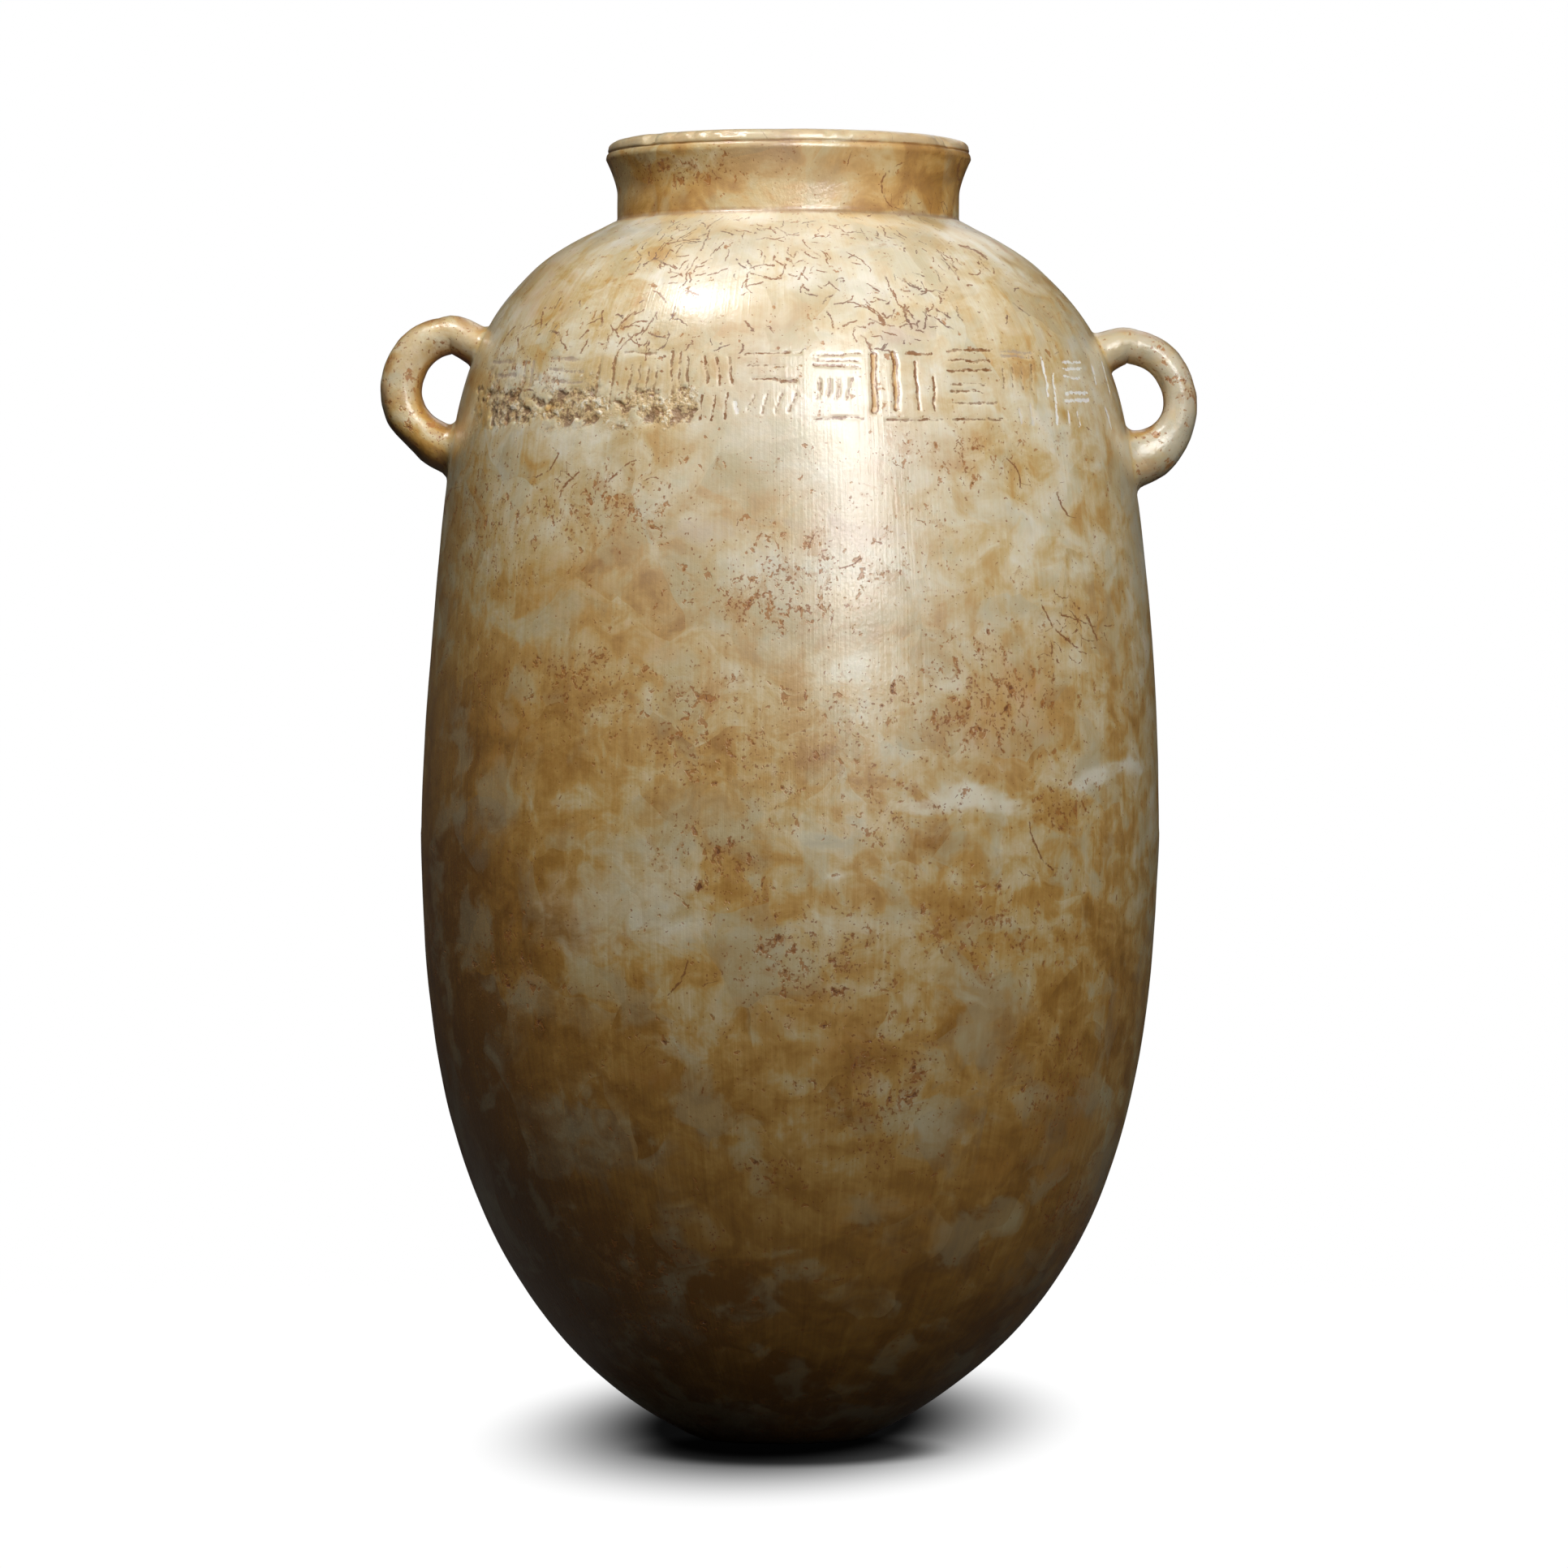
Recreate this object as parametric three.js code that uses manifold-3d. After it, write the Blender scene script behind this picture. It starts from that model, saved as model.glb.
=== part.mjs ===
// Two-handled stone alabastron: an ovoid jar carved from one block of banded
// calcite, with a short everted neck, a hollowed inside and two small loop
// handles left standing on the shoulder. Millimetres, +Z up. The origin is on
// the surface that the jar stands on, under the axis of the neck.
import * as THREE from 'three';
import { mergeVertices } from 'three/addons/utils/BufferGeometryUtils.js';
import { ParametricGeometry } from 'three/addons/geometries/ParametricGeometry.js';
import Module from 'manifold-3d';

// ---- driving dimensions (mm) ----
const HEIGHT = 500;              // underside to the top of the rim
const BODY_RADIUS = 142.1;       // at the widest level
const WIDEST_Z = 235;
const FOOT_RADIUS = 31;          // the small flat that the jar stands on

// Lower half of the outline, one superellipse arc from the foot flat upwards.
const BELLY = { radius: 142.755, centreZ: 318.2, span: 325.9, power: 3.869, root: 1.583 };
// Upper half: the side leans in a little, then the shoulder turns over.
const SIDE_LEAN = { amount: 8.906, over: 130, power: 1.698 };
const SHOULDER = { startZ: 333.357, span: 152.638, power: 4.858, root: 1.432 };

// Neck and lip.
const CREASE_Z = 468.9;          // sharp re-entrant line where the neck stands on the shoulder
const NECK_RADIUS = 65.9;
const NECK_STRAIGHT_Z = 479.5;   // top of the straight part
const LIP_RADIUS = 70.4;         // widest point of the everted lip
const LIP_Z = 492.8;
const BAND_RADIUS = 69.3;        // upper band of the lip, under the rounded edge
const BAND_Z = 497.0;
const RIM_FLAT_RADIUS = 64.6;    // outer edge of the flat ring on top

// Inside.
const BORE_RADIUS = 50;
const MOUTH_RADIUS = 53;         // the bore opens a little at the very top
const MOUTH_FLARE_Z = 493;
const WALL_BOTTOM = 40;          // stone left under the hollow
const WALL_BELLY = 18;
const WALL_SHOULDER = 22;

// The jar was turned and ground by eye: its outline wanders from the neck's axis.
const DRIFT = [
  { amount: 1.35, z: 315, reach: 95 },
  { amount: -0.6, z: 450, reach: 20 },
  { amount: -2.8, z: 0, reach: 41 },
];

// Loop handles, in the plane Y = 0. centreX is measured outwards.
const LEFT_HANDLE = {
  side: -1, centreX: 130, centreZ: 403, halfWidth: 19.5, halfHeight: 22,
  thickTop: 13.6, thickSide: 16.2, thickFoot: 21,
};
const RIGHT_HANDLE = {
  side: 1, centreX: 130.4, centreZ: 399.3, halfWidth: 20.6, halfHeight: 21.8,
  thickTop: 13.7, thickSide: 13.2, thickFoot: 21,
};
const HANDLE_DEPTH = 21;         // front to back, at the outermost point
const HANDLE_DEPTH_AT_BODY = 31; // where the loop spreads onto the body
const HANDLE_ROOT_IN = 17;       // how far the roots run into the wall

// Fineness of the faceted surface.
const TURN_STEPS = 48;
const OUTER_ROWS = 44;
const INNER_ROWS = 26;
const HANDLE_RINGS = 20;
const HANDLE_SIDES = 14;

// ---- outline ----
const superArc = (t, power, root) =>
  Math.pow(Math.max(0, 1 - Math.pow(Math.min(Math.abs(t), 1), power)), 1 / root);

function bodyRadius(z) {
  if (z < WIDEST_Z) {
    return BELLY.radius * superArc((z - BELLY.centreZ) / BELLY.span, BELLY.power, BELLY.root);
  }
  const lean = SIDE_LEAN.amount * Math.pow((z - WIDEST_Z) / SIDE_LEAN.over, SIDE_LEAN.power);
  const turn = superArc(Math.max(0, z - SHOULDER.startZ) / SHOULDER.span, SHOULDER.power, SHOULDER.root);
  return (BODY_RADIUS - lean) * turn;
}

const drift = (z) =>
  DRIFT.reduce((sum, d) => sum + d.amount * Math.exp(-(((z - d.z) / d.reach) ** 2)), 0);

// A curve r(z) resampled at equal steps of its own length, from z0 to z1.
function evenRows(radiusAt, z0, z1, rows) {
  const fine = [];
  for (let i = 0; i <= 4000; i++) {
    // crowded at both ends, where the outline turns fastest
    const t = 0.5 - 0.5 * Math.cos((Math.PI * i) / 4000);
    const z = z0 + (z1 - z0) * t;
    fine.push(new THREE.Vector2(radiusAt(z), z));
  }
  const lengths = [0];
  for (let i = 1; i < fine.length; i++) lengths.push(lengths[i - 1] + fine[i].distanceTo(fine[i - 1]));
  const out = [];
  let k = 1;
  for (let j = 0; j <= rows; j++) {
    const want = (lengths[lengths.length - 1] * j) / rows;
    while (k < fine.length - 1 && lengths[k] < want) k++;
    const f = (want - lengths[k - 1]) / (lengths[k] - lengths[k - 1]);
    out.push(fine[k - 1].clone().lerp(fine[k], f));
  }
  return out;
}

function outerProfile() {
  const points = [new THREE.Vector2(0, 0), new THREE.Vector2(FOOT_RADIUS, 0)];
  const body = evenRows((z) => (z < 0.4 ? FOOT_RADIUS + z * 4 : bodyRadius(z)), 0.4, CREASE_Z, OUTER_ROWS);
  body.forEach((p, i) => {
    if (i > 0 && i < OUTER_ROWS) points.push(p);
  });
  points.push(new THREE.Vector2(NECK_RADIUS, CREASE_Z));
  points.push(new THREE.Vector2(NECK_RADIUS, NECK_STRAIGHT_Z));
  for (const f of [0.4, 0.7, 1]) {
    points.push(new THREE.Vector2(
      NECK_RADIUS + (LIP_RADIUS - NECK_RADIUS) * f ** 1.5,
      NECK_STRAIGHT_Z + (LIP_Z - NECK_STRAIGHT_Z) * f));
  }
  points.push(new THREE.Vector2(BAND_RADIUS, BAND_Z));
  points.push(new THREE.Vector2((BAND_RADIUS + RIM_FLAT_RADIUS) / 2 + 0.6, HEIGHT - 0.9));
  points.push(new THREE.Vector2(RIM_FLAT_RADIUS, HEIGHT));
  points.push(new THREE.Vector2(0, HEIGHT));
  return points;
}

// The hollow follows the outside at a wall thickness that changes with height,
// up to the bore.
function hollowProfile() {
  const wallAt = (z) => (z < WIDEST_Z
    ? WALL_BELLY + (WALL_BOTTOM - WALL_BELLY) * (1 - z / WIDEST_Z) ** 2.2
    : WALL_BELLY + (WALL_SHOULDER - WALL_BELLY) * ((z - WIDEST_Z) / (CREASE_Z - WIDEST_Z)) ** 2);
  const skin = evenRows(bodyRadius, 0.4, CREASE_Z - 1, 400);
  const inner = [];
  for (let i = 1; i < skin.length - 1; i++) {
    const along = skin[i + 1].clone().sub(skin[i - 1]).normalize();
    const p = new THREE.Vector2(skin[i].x - along.y * wallAt(skin[i].y), skin[i].y + along.x * wallAt(skin[i].y));
    const last = inner[inner.length - 1];
    if (p.x > 6 && (!last || p.y > last.y + 0.02)) inner.push(p);
  }
  const top = inner.findIndex((p) => p.y > WIDEST_Z && p.x <= BORE_RADIUS + 2);
  const wall = top < 0 ? inner : inner.slice(0, top);
  const points = [new THREE.Vector2(0, WALL_BOTTOM)];
  for (let j = 0; j <= INNER_ROWS; j++) {
    points.push(wall[Math.round(((wall.length - 1) * j) / INNER_ROWS)].clone());
  }
  const shoulderTop = points[points.length - 1].y;
  points.push(new THREE.Vector2(BORE_RADIUS, shoulderTop + 3));
  points.push(new THREE.Vector2(BORE_RADIUS, MOUTH_FLARE_Z));
  points.push(new THREE.Vector2(MOUTH_RADIUS, HEIGHT));
  const past = 6;
  points.push(new THREE.Vector2(MOUTH_RADIUS + 1, HEIGHT + past));
  points.push(new THREE.Vector2(0, HEIGHT + past));
  return points;
}

// ---- solids ----
const wasm = await Module();
wasm.setup();

function toSolid(geometry) {
  const bare = geometry.clone();
  bare.deleteAttribute('normal');
  bare.deleteAttribute('uv');
  const merged = mergeVertices(bare, 1e-4);
  const position = merged.getAttribute('position').array;
  const index = merged.getIndex().array;
  const kept = [];
  let volume = 0;
  const at = (i) => new THREE.Vector3(position[3 * i], position[3 * i + 1], position[3 * i + 2]);
  for (let i = 0; i < index.length; i += 3) {
    const [a, b, c] = [index[i], index[i + 1], index[i + 2]];
    if (a === b || b === c || c === a) continue;
    volume += at(a).dot(at(b).cross(at(c)));
    kept.push([a, b, c]);
  }
  // faces point out of the solid
  const triVerts = new Uint32Array(kept.flatMap(([a, b, c]) => (volume > 0 ? [a, b, c] : [a, c, b])));
  return new wasm.Manifold(new wasm.Mesh({ numProp: 3, vertProperties: new Float32Array(position), triVerts }));
}

function turned(profile) {
  const lathe = new THREE.LatheGeometry(profile, TURN_STEPS);
  lathe.rotateX(Math.PI / 2);
  const p = lathe.getAttribute('position');
  for (let i = 0; i < p.count; i++) p.setX(i, p.getX(i) + drift(p.getZ(i)));
  return lathe;
}

// A handle is one rounded loop, thicker and wider where it spreads onto the body.
function handle(spec) {
  const path = [];
  const root = (z) => bodyRadius(z) - HANDLE_ROOT_IN;
  const upper = spec.centreZ + spec.halfHeight - 9;
  const lower = spec.centreZ - spec.halfHeight + 1;
  path.push(new THREE.Vector3(root(upper), 0, upper));
  for (let a = 100; a >= -100; a -= 20) {
    const t = THREE.MathUtils.degToRad(a);
    path.push(new THREE.Vector3(
      spec.centreX + spec.halfWidth * Math.cos(t), 0, spec.centreZ + spec.halfHeight * Math.sin(t)));
  }
  path.push(new THREE.Vector3(root(lower), 0, lower));
  for (const p of path) p.x *= spec.side;
  const curve = new THREE.CatmullRomCurve3(path, false, 'centripetal');
  const smooth = THREE.MathUtils.smoothstep;
  const mix = THREE.MathUtils.lerp;
  const surface = (u, v, target) => {
    const ring = THREE.MathUtils.clamp((v * HANDLE_RINGS - 1) / (HANDLE_RINGS - 2), 0, 1);
    const centre = curve.getPointAt(ring);
    const along = curve.getTangentAt(ring);
    const across = new THREE.Vector3(along.z, 0, -along.x);
    const closed = v < 0.5 / HANDLE_RINGS || v > 1 - 0.5 / HANDLE_RINGS ? 0 : 1;
    const toTop = 1 - smooth(ring, 0.05, 0.5);
    const toFoot = smooth(ring, 0.55, 0.9);
    const thick = mix(mix(spec.thickSide, spec.thickTop, toTop), spec.thickFoot, toFoot);
    const nearBody = Math.max(1 - smooth(ring, 0.05, 0.4), smooth(ring, 0.62, 0.95));
    const deep = mix(HANDLE_DEPTH, HANDLE_DEPTH_AT_BODY, nearBody);
    const a = 2 * Math.PI * u;
    target.copy(centre)
      .addScaledVector(across, (closed * Math.cos(a) * thick) / 2);
    target.y += (closed * Math.sin(a) * deep) / 2;
  };
  return new ParametricGeometry(surface, HANDLE_SIDES, HANDLE_RINGS);
}

const jar = toSolid(turned(outerProfile()))
  .add(toSolid(handle(LEFT_HANDLE)))
  .add(toSolid(handle(RIGHT_HANDLE)))
  .subtract(toSolid(turned(hollowProfile())));

function toGeometry(solid) {
  const mesh = solid.getMesh();
  const geometry = new THREE.BufferGeometry();
  const position = new Float32Array(mesh.numVert * 3);
  for (let i = 0; i < mesh.numVert; i++) {
    for (let k = 0; k < 3; k++) position[3 * i + k] = mesh.vertProperties[mesh.numProp * i + k];
  }
  geometry.setAttribute('position', new THREE.BufferAttribute(position, 3));
  geometry.setIndex(new THREE.BufferAttribute(new Uint32Array(mesh.triVerts), 1));
  geometry.computeVertexNormals();
  return geometry;
}

const calcite = new THREE.MeshStandardMaterial({ color: 0xd8c49a, roughness: 0.4, metalness: 0 });
const vessel = new THREE.Mesh(toGeometry(jar), calcite);
vessel.name = 'vessel';

const alabastron = new THREE.Group();
alabastron.add(vessel);

export default alabastron;
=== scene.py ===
import bpy, math
import numpy as np
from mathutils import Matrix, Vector


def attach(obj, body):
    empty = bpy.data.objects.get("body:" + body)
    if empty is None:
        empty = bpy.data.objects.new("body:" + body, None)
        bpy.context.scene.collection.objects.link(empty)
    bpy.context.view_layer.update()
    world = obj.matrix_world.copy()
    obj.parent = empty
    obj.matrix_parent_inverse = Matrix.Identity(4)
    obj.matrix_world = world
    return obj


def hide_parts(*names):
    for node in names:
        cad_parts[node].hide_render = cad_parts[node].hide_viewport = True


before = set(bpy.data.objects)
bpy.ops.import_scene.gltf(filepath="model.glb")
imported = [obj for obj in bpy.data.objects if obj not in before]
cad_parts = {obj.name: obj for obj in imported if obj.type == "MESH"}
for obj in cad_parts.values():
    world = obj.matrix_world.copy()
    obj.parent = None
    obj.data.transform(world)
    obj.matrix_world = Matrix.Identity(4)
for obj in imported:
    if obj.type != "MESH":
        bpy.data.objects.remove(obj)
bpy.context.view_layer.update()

# ------------------------------------------------------------------ sizes (mm)
HEIGHT = 500.0
BODY_RADIUS, WIDEST_Z, FOOT_RADIUS = 142.1, 235.0, 31.0
CREASE_Z, NECK_RADIUS, NECK_STRAIGHT_Z = 468.9, 65.9, 479.5
LIP_RADIUS, LIP_Z = 70.4, 492.8
BORE_RADIUS, MOUTH_RADIUS, MOUTH_FLARE_Z = 50.0, 53.0, 493.0
WALL_BOTTOM, WALL_BELLY, WALL_SHOULDER = 40.0, 18.0, 22.0


def super_arc(t, power, root):
    t = np.minimum(np.abs(t), 1.0)
    return np.maximum(0.0, 1.0 - t ** power) ** (1.0 / root)


def body_radius(z):
    z = np.asarray(z, float)
    low = 142.755 * super_arc((z - 318.2) / 325.9, 3.869, 1.583)
    lean = 8.906 * (np.maximum(z - WIDEST_Z, 0) / 130.0) ** 1.698
    up = (BODY_RADIUS - lean) * super_arc(np.maximum(0, z - 333.357) / 152.638, 4.858, 1.432)
    r = np.where(z < WIDEST_Z, low, up)
    return r + 0.8 * np.exp(-((z - 453.5) / 6.0) ** 2) - 0.7 * np.exp(-((z - 465.3) / 2.6) ** 2)


def drift(z):
    z = np.asarray(z, float)
    return (1.35 * np.exp(-((z - 315) / 95.0) ** 2) - 0.6 * np.exp(-((z - 450) / 20.0) ** 2)
            - 2.8 * np.exp(-(z / 41.0) ** 2))


# the photograph's pixels to the jar's own millimetres, at the depth of its axis
def px_x(x):
    return (np.asarray(x, float) - 971.5) / 3.194


def px_z(y):
    return 252.2 + (966.0 - np.asarray(y, float)) / 3.194


# ------------------------------------------------------------------ noise
def _hash(ix, iy, iz, seed):
    h = (ix.astype(np.int64) * 374761393 + iy.astype(np.int64) * 668265263 + iz.astype(np.int64) * 2147483647
         + seed * 1274126177) & 0xFFFFFFFF
    h = ((h ^ (h >> 13)) * 1274126177) & 0xFFFFFFFF
    h = h ^ (h >> 16)
    return (h & 0xFFFFFF) / float(0xFFFFFF) * 2 - 1


def noise3(p, size, seed=0):
    """Smooth noise, -1 to 1, with features about size mm across."""
    q = np.asarray(p, float) / size + 137.31
    i = np.floor(q).astype(np.int64)
    f = q - i
    f = f * f * f * (f * (f * 6 - 15) + 10)
    out = 0
    for dx in (0, 1):
        wx = f[:, 0] if dx else 1 - f[:, 0]
        for dy in (0, 1):
            wy = f[:, 1] if dy else 1 - f[:, 1]
            for dz in (0, 1):
                wz = f[:, 2] if dz else 1 - f[:, 2]
                out = out + wx * wy * wz * _hash(i[:, 0] + dx, i[:, 1] + dy, i[:, 2] + dz, seed)
    return out


def fbm(p, size, octaves=4, seed=0, gain=0.5):
    total, amp, norm = 0, 1.0, 0
    for k in range(octaves):
        total = total + amp * noise3(p, size / 2 ** k, seed + 17 * k)
        norm += amp
        amp *= gain
    return total / norm


def sstep(x, a, b):
    t = np.clip((x - a) / (b - a), 0, 1)
    return t * t * (3 - 2 * t)


# ------------------------------------------------------------------ outline as a dense line
def dense_profile():
    """(r, z, part) all the way round the wall's section, from the middle of the foot outside to the middle of the hollow's floor."""
    R, Z, P = [], [], []

    def put(r, z, part):
        R.append(float(r)); Z.append(float(z)); P.append(part)

    for r in np.linspace(0, FOOT_RADIUS, 40):
        put(r, 0, "foot")
    t = 0.5 - 0.5 * np.cos(np.linspace(0, math.pi, 9000))
    for z in 0.35 + (CREASE_Z - 0.35) * t:
        r = float(body_radius(z))
        if z < 3:
            r = max(r, FOOT_RADIUS + 2.4 * z)
        part = "body" if z < 386 else ("band" if z < 423 else "shoulder")
        put(r, z, part)
    put(NECK_RADIUS + 0.15, CREASE_Z + 0.25, "neck")
    for z in np.linspace(CREASE_Z + 0.7, NECK_STRAIGHT_Z, 60):
        put(NECK_RADIUS, z, "neck")
    for f in np.linspace(0, 1, 90)[1:]:
        put(NECK_RADIUS + (LIP_RADIUS - NECK_RADIUS) * f ** 1.45,
            NECK_STRAIGHT_Z + (LIP_Z - NECK_STRAIGHT_Z) * f, "neck")
    for z in np.linspace(LIP_Z, 494.7, 16)[1:]:
        put(LIP_RADIUS - 0.40 * ((z - LIP_Z) / 1.9) ** 1.6, z, "lip")
    for z in np.linspace(494.7, 495.8, 12)[1:]:
        put(70.0 - 0.2 * (z - 494.7) - 0.85 * math.sin(math.pi * (z - 494.7) / 1.1) ** 2, z, "lip")
    for z in np.linspace(495.8, 497.0, 8)[1:]:
        put(69.78 - 0.28 * (z - 495.8) / 1.2, z, "lip")
    for a in np.linspace(0, math.pi / 2, 30)[1:]:
        put(64.5 + 5.0 * math.cos(a), 497.0 + 3.0 * math.sin(a), "lip")
    for r in np.linspace(64.5, MOUTH_RADIUS + 1.2, 40)[1:]:
        put(r, HEIGHT, "top")
    for a in np.linspace(0, math.pi / 2, 12)[1:]:
        put(MOUTH_RADIUS + 1.2 - 1.2 * math.sin(a), HEIGHT - 1.2 + 1.2 * math.cos(a), "top")
    for z in np.linspace(HEIGHT - 1.3, MOUTH_FLARE_Z, 20):
        put(BORE_RADIUS + (MOUTH_RADIUS - BORE_RADIUS) * (z - MOUTH_FLARE_Z) / (HEIGHT - MOUTH_FLARE_Z), z, "bore")
    # the hollow follows the outside at the wall's thickness
    zz = 0.4 + (CREASE_Z - 1.4) * (0.5 - 0.5 * np.cos(np.linspace(0, math.pi, 3000)))
    rr = body_radius(zz)
    tx, tz = np.gradient(rr), np.gradient(zz)
    n = np.hypot(tx, tz)
    wall = np.where(zz < WIDEST_Z, WALL_BELLY + (WALL_BOTTOM - WALL_BELLY) * np.maximum(0, 1 - zz / WIDEST_Z) ** 2.2,
                    WALL_BELLY + (WALL_SHOULDER - WALL_BELLY) * (np.maximum(zz - WIDEST_Z, 0) / (CREASE_Z - WIDEST_Z)) ** 2)
    ri, zi = rr - tz / n * wall, zz + tx / n * wall
    keep, last = [], -1
    for a, b in zip(ri, zi):
        if a > 6 and b > last + 0.02 and not (b > WIDEST_Z and a <= BORE_RADIUS + 2):
            keep.append((a, b)); last = b
    for z in np.linspace(MOUTH_FLARE_Z, keep[-1][1] + 3, 24)[1:]:
        put(BORE_RADIUS, z, "bore")
    for a, b in reversed(keep):
        put(a, b, "inside")
    put(0, WALL_BOTTOM, "inside")
    return np.array(R), np.array(Z), P


# cell size (mm) up the outline, at the front and at the back
CELLS = {"foot": (4, 4, 5), "body": (3.0, 2.9, 5.5), "band": (0.78, 0.78, 3.4), "shoulder": (1.45, 1.45, 3.6),
         "neck": (1.25, 1.4, 2.6), "lip": (0.75, 1.4, 2.6), "top": (1.6, 1.7, 2.8), "bore": (5, 5, 5), "inside": (9, 9, 9)}


def rings():
    R, Z, P = dense_profile()
    s = np.r_[0, np.cumsum(np.hypot(np.diff(R), np.diff(Z)))]
    stations = [0.0]
    while True:
        k = min(np.searchsorted(s, stations[-1]), len(P) - 1)
        step = CELLS[P[k]][0]
        ahead = min(np.searchsorted(s, stations[-1] + step), len(P) - 1)
        step = min(step, max(CELLS[P[ahead]][0], step * 0.6))
        # never step over a crisp line of the outline
        if stations[-1] + step >= s[-1] - 0.5 * step:
            break
        stations.append(stations[-1] + step)
    stations.append(s[-1])
    st = np.array(stations)
    # crisp lines keep a ring of their own
    crisp = [s[39], s[np.argmin(np.abs(Z - CREASE_Z) + (R < 60) * 99)]]
    for c in crisp:
        st[np.argmin(np.abs(st - c))] = c
    r = np.interp(st, s, R)
    z = np.interp(st, s, Z)
    parts = [P[min(np.searchsorted(s, v), len(P) - 1)] for v in st]
    rs, zs = np.interp(st + 0.4, s, R) - np.interp(st - 0.4, s, R), np.interp(st + 0.4, s, Z) - np.interp(st - 0.4, s, Z)
    n = np.maximum(np.hypot(rs, zs), 1e-9)
    return st, r, z, parts, zs / n, -rs / n


def ring_angles(r, front, back):
    """Angles from the back (-pi) round by the left, the front (0) and the right, closer together at the front."""
    a = np.linspace(0, math.pi, 721)
    cell = front + (back - front) * sstep(a, math.radians(92), math.radians(112))
    dens = np.r_[0, np.cumsum(0.5 * (r / cell[1:] + r / cell[:-1]) * np.diff(a))]
    half = max(4, int(round(dens[-1] / 3.0)) * 3)
    h = np.interp(np.linspace(0, dens[-1], half + 1), dens, a)
    return np.r_[-h[::-1], h[1:-1]]


def zip_rings(ia, aa, ib, ab, faces):
    """Triangles between two rings of points, whatever their counts."""
    na, nb = len(aa), len(ab)
    i = j = 0
    ea = np.r_[aa, aa[0] + 2 * math.pi]
    eb = np.r_[ab, ab[0] + 2 * math.pi]
    while i < na or j < nb:
        if j >= nb or (i < na and ea[i + 1] <= eb[j + 1]):
            faces.append((ia + i % na, ia + (i + 1) % na, ib + j % nb))
            i += 1
        else:
            faces.append((ia + i % na, ib + (j + 1) % nb, ib + j % nb))
            j += 1


def vessel_arrays():
    st, r, z, parts, nr, nz = rings()
    V, PHI, RR, ZZ, NR, NZ, OUT = [], [], [], [], [], [], []
    faces, prev = [], None
    for k in range(len(st)):
        if r[k] < 1e-6:
            V_idx = len(PHI)
            PHI.append(0.0); RR.append(0.0); ZZ.append(z[k]); NR.append(0.0)
            NZ.append(-1.0 if k == 0 else 1.0); OUT.append(k == 0)
            if prev is None:
                prev = (V_idx, None)
            else:
                i0, aa = prev
                for i in range(len(aa)):
                    faces.append((i0 + i, i0 + (i + 1) % len(aa), V_idx))
            continue
        _, f, b = CELLS[parts[k]]
        aa = ring_angles(r[k], f, b)
        i0 = len(PHI)
        PHI.extend(aa); RR.extend([r[k]] * len(aa)); ZZ.extend([z[k]] * len(aa))
        NR.extend([nr[k]] * len(aa)); NZ.extend([nz[k]] * len(aa))
        OUT.extend([parts[k] not in ("bore", "inside")] * len(aa))
        if prev is not None:
            if prev[1] is None:
                for i in range(len(aa)):
                    faces.append((prev[0], i0 + (i + 1) % len(aa), i0 + i))
            else:
                zip_rings(prev[0], prev[1], i0, aa, faces)
        prev = (i0, aa)
    A = [np.array(x) for x in (PHI, RR, ZZ, NR, NZ, OUT)]
    return A, faces


# ------------------------------------------------------------------ the band of strokes
# Rows of plain strokes between two heights. Each group: photo x where it starts, and its strokes
# as (dx, top, dx2, bottom, width mm), heights as a fraction of the band from its top (0) to its base (1).
BAND_TOP_PX, BAND_BASE_PX = 436.0, 519.0


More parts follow.
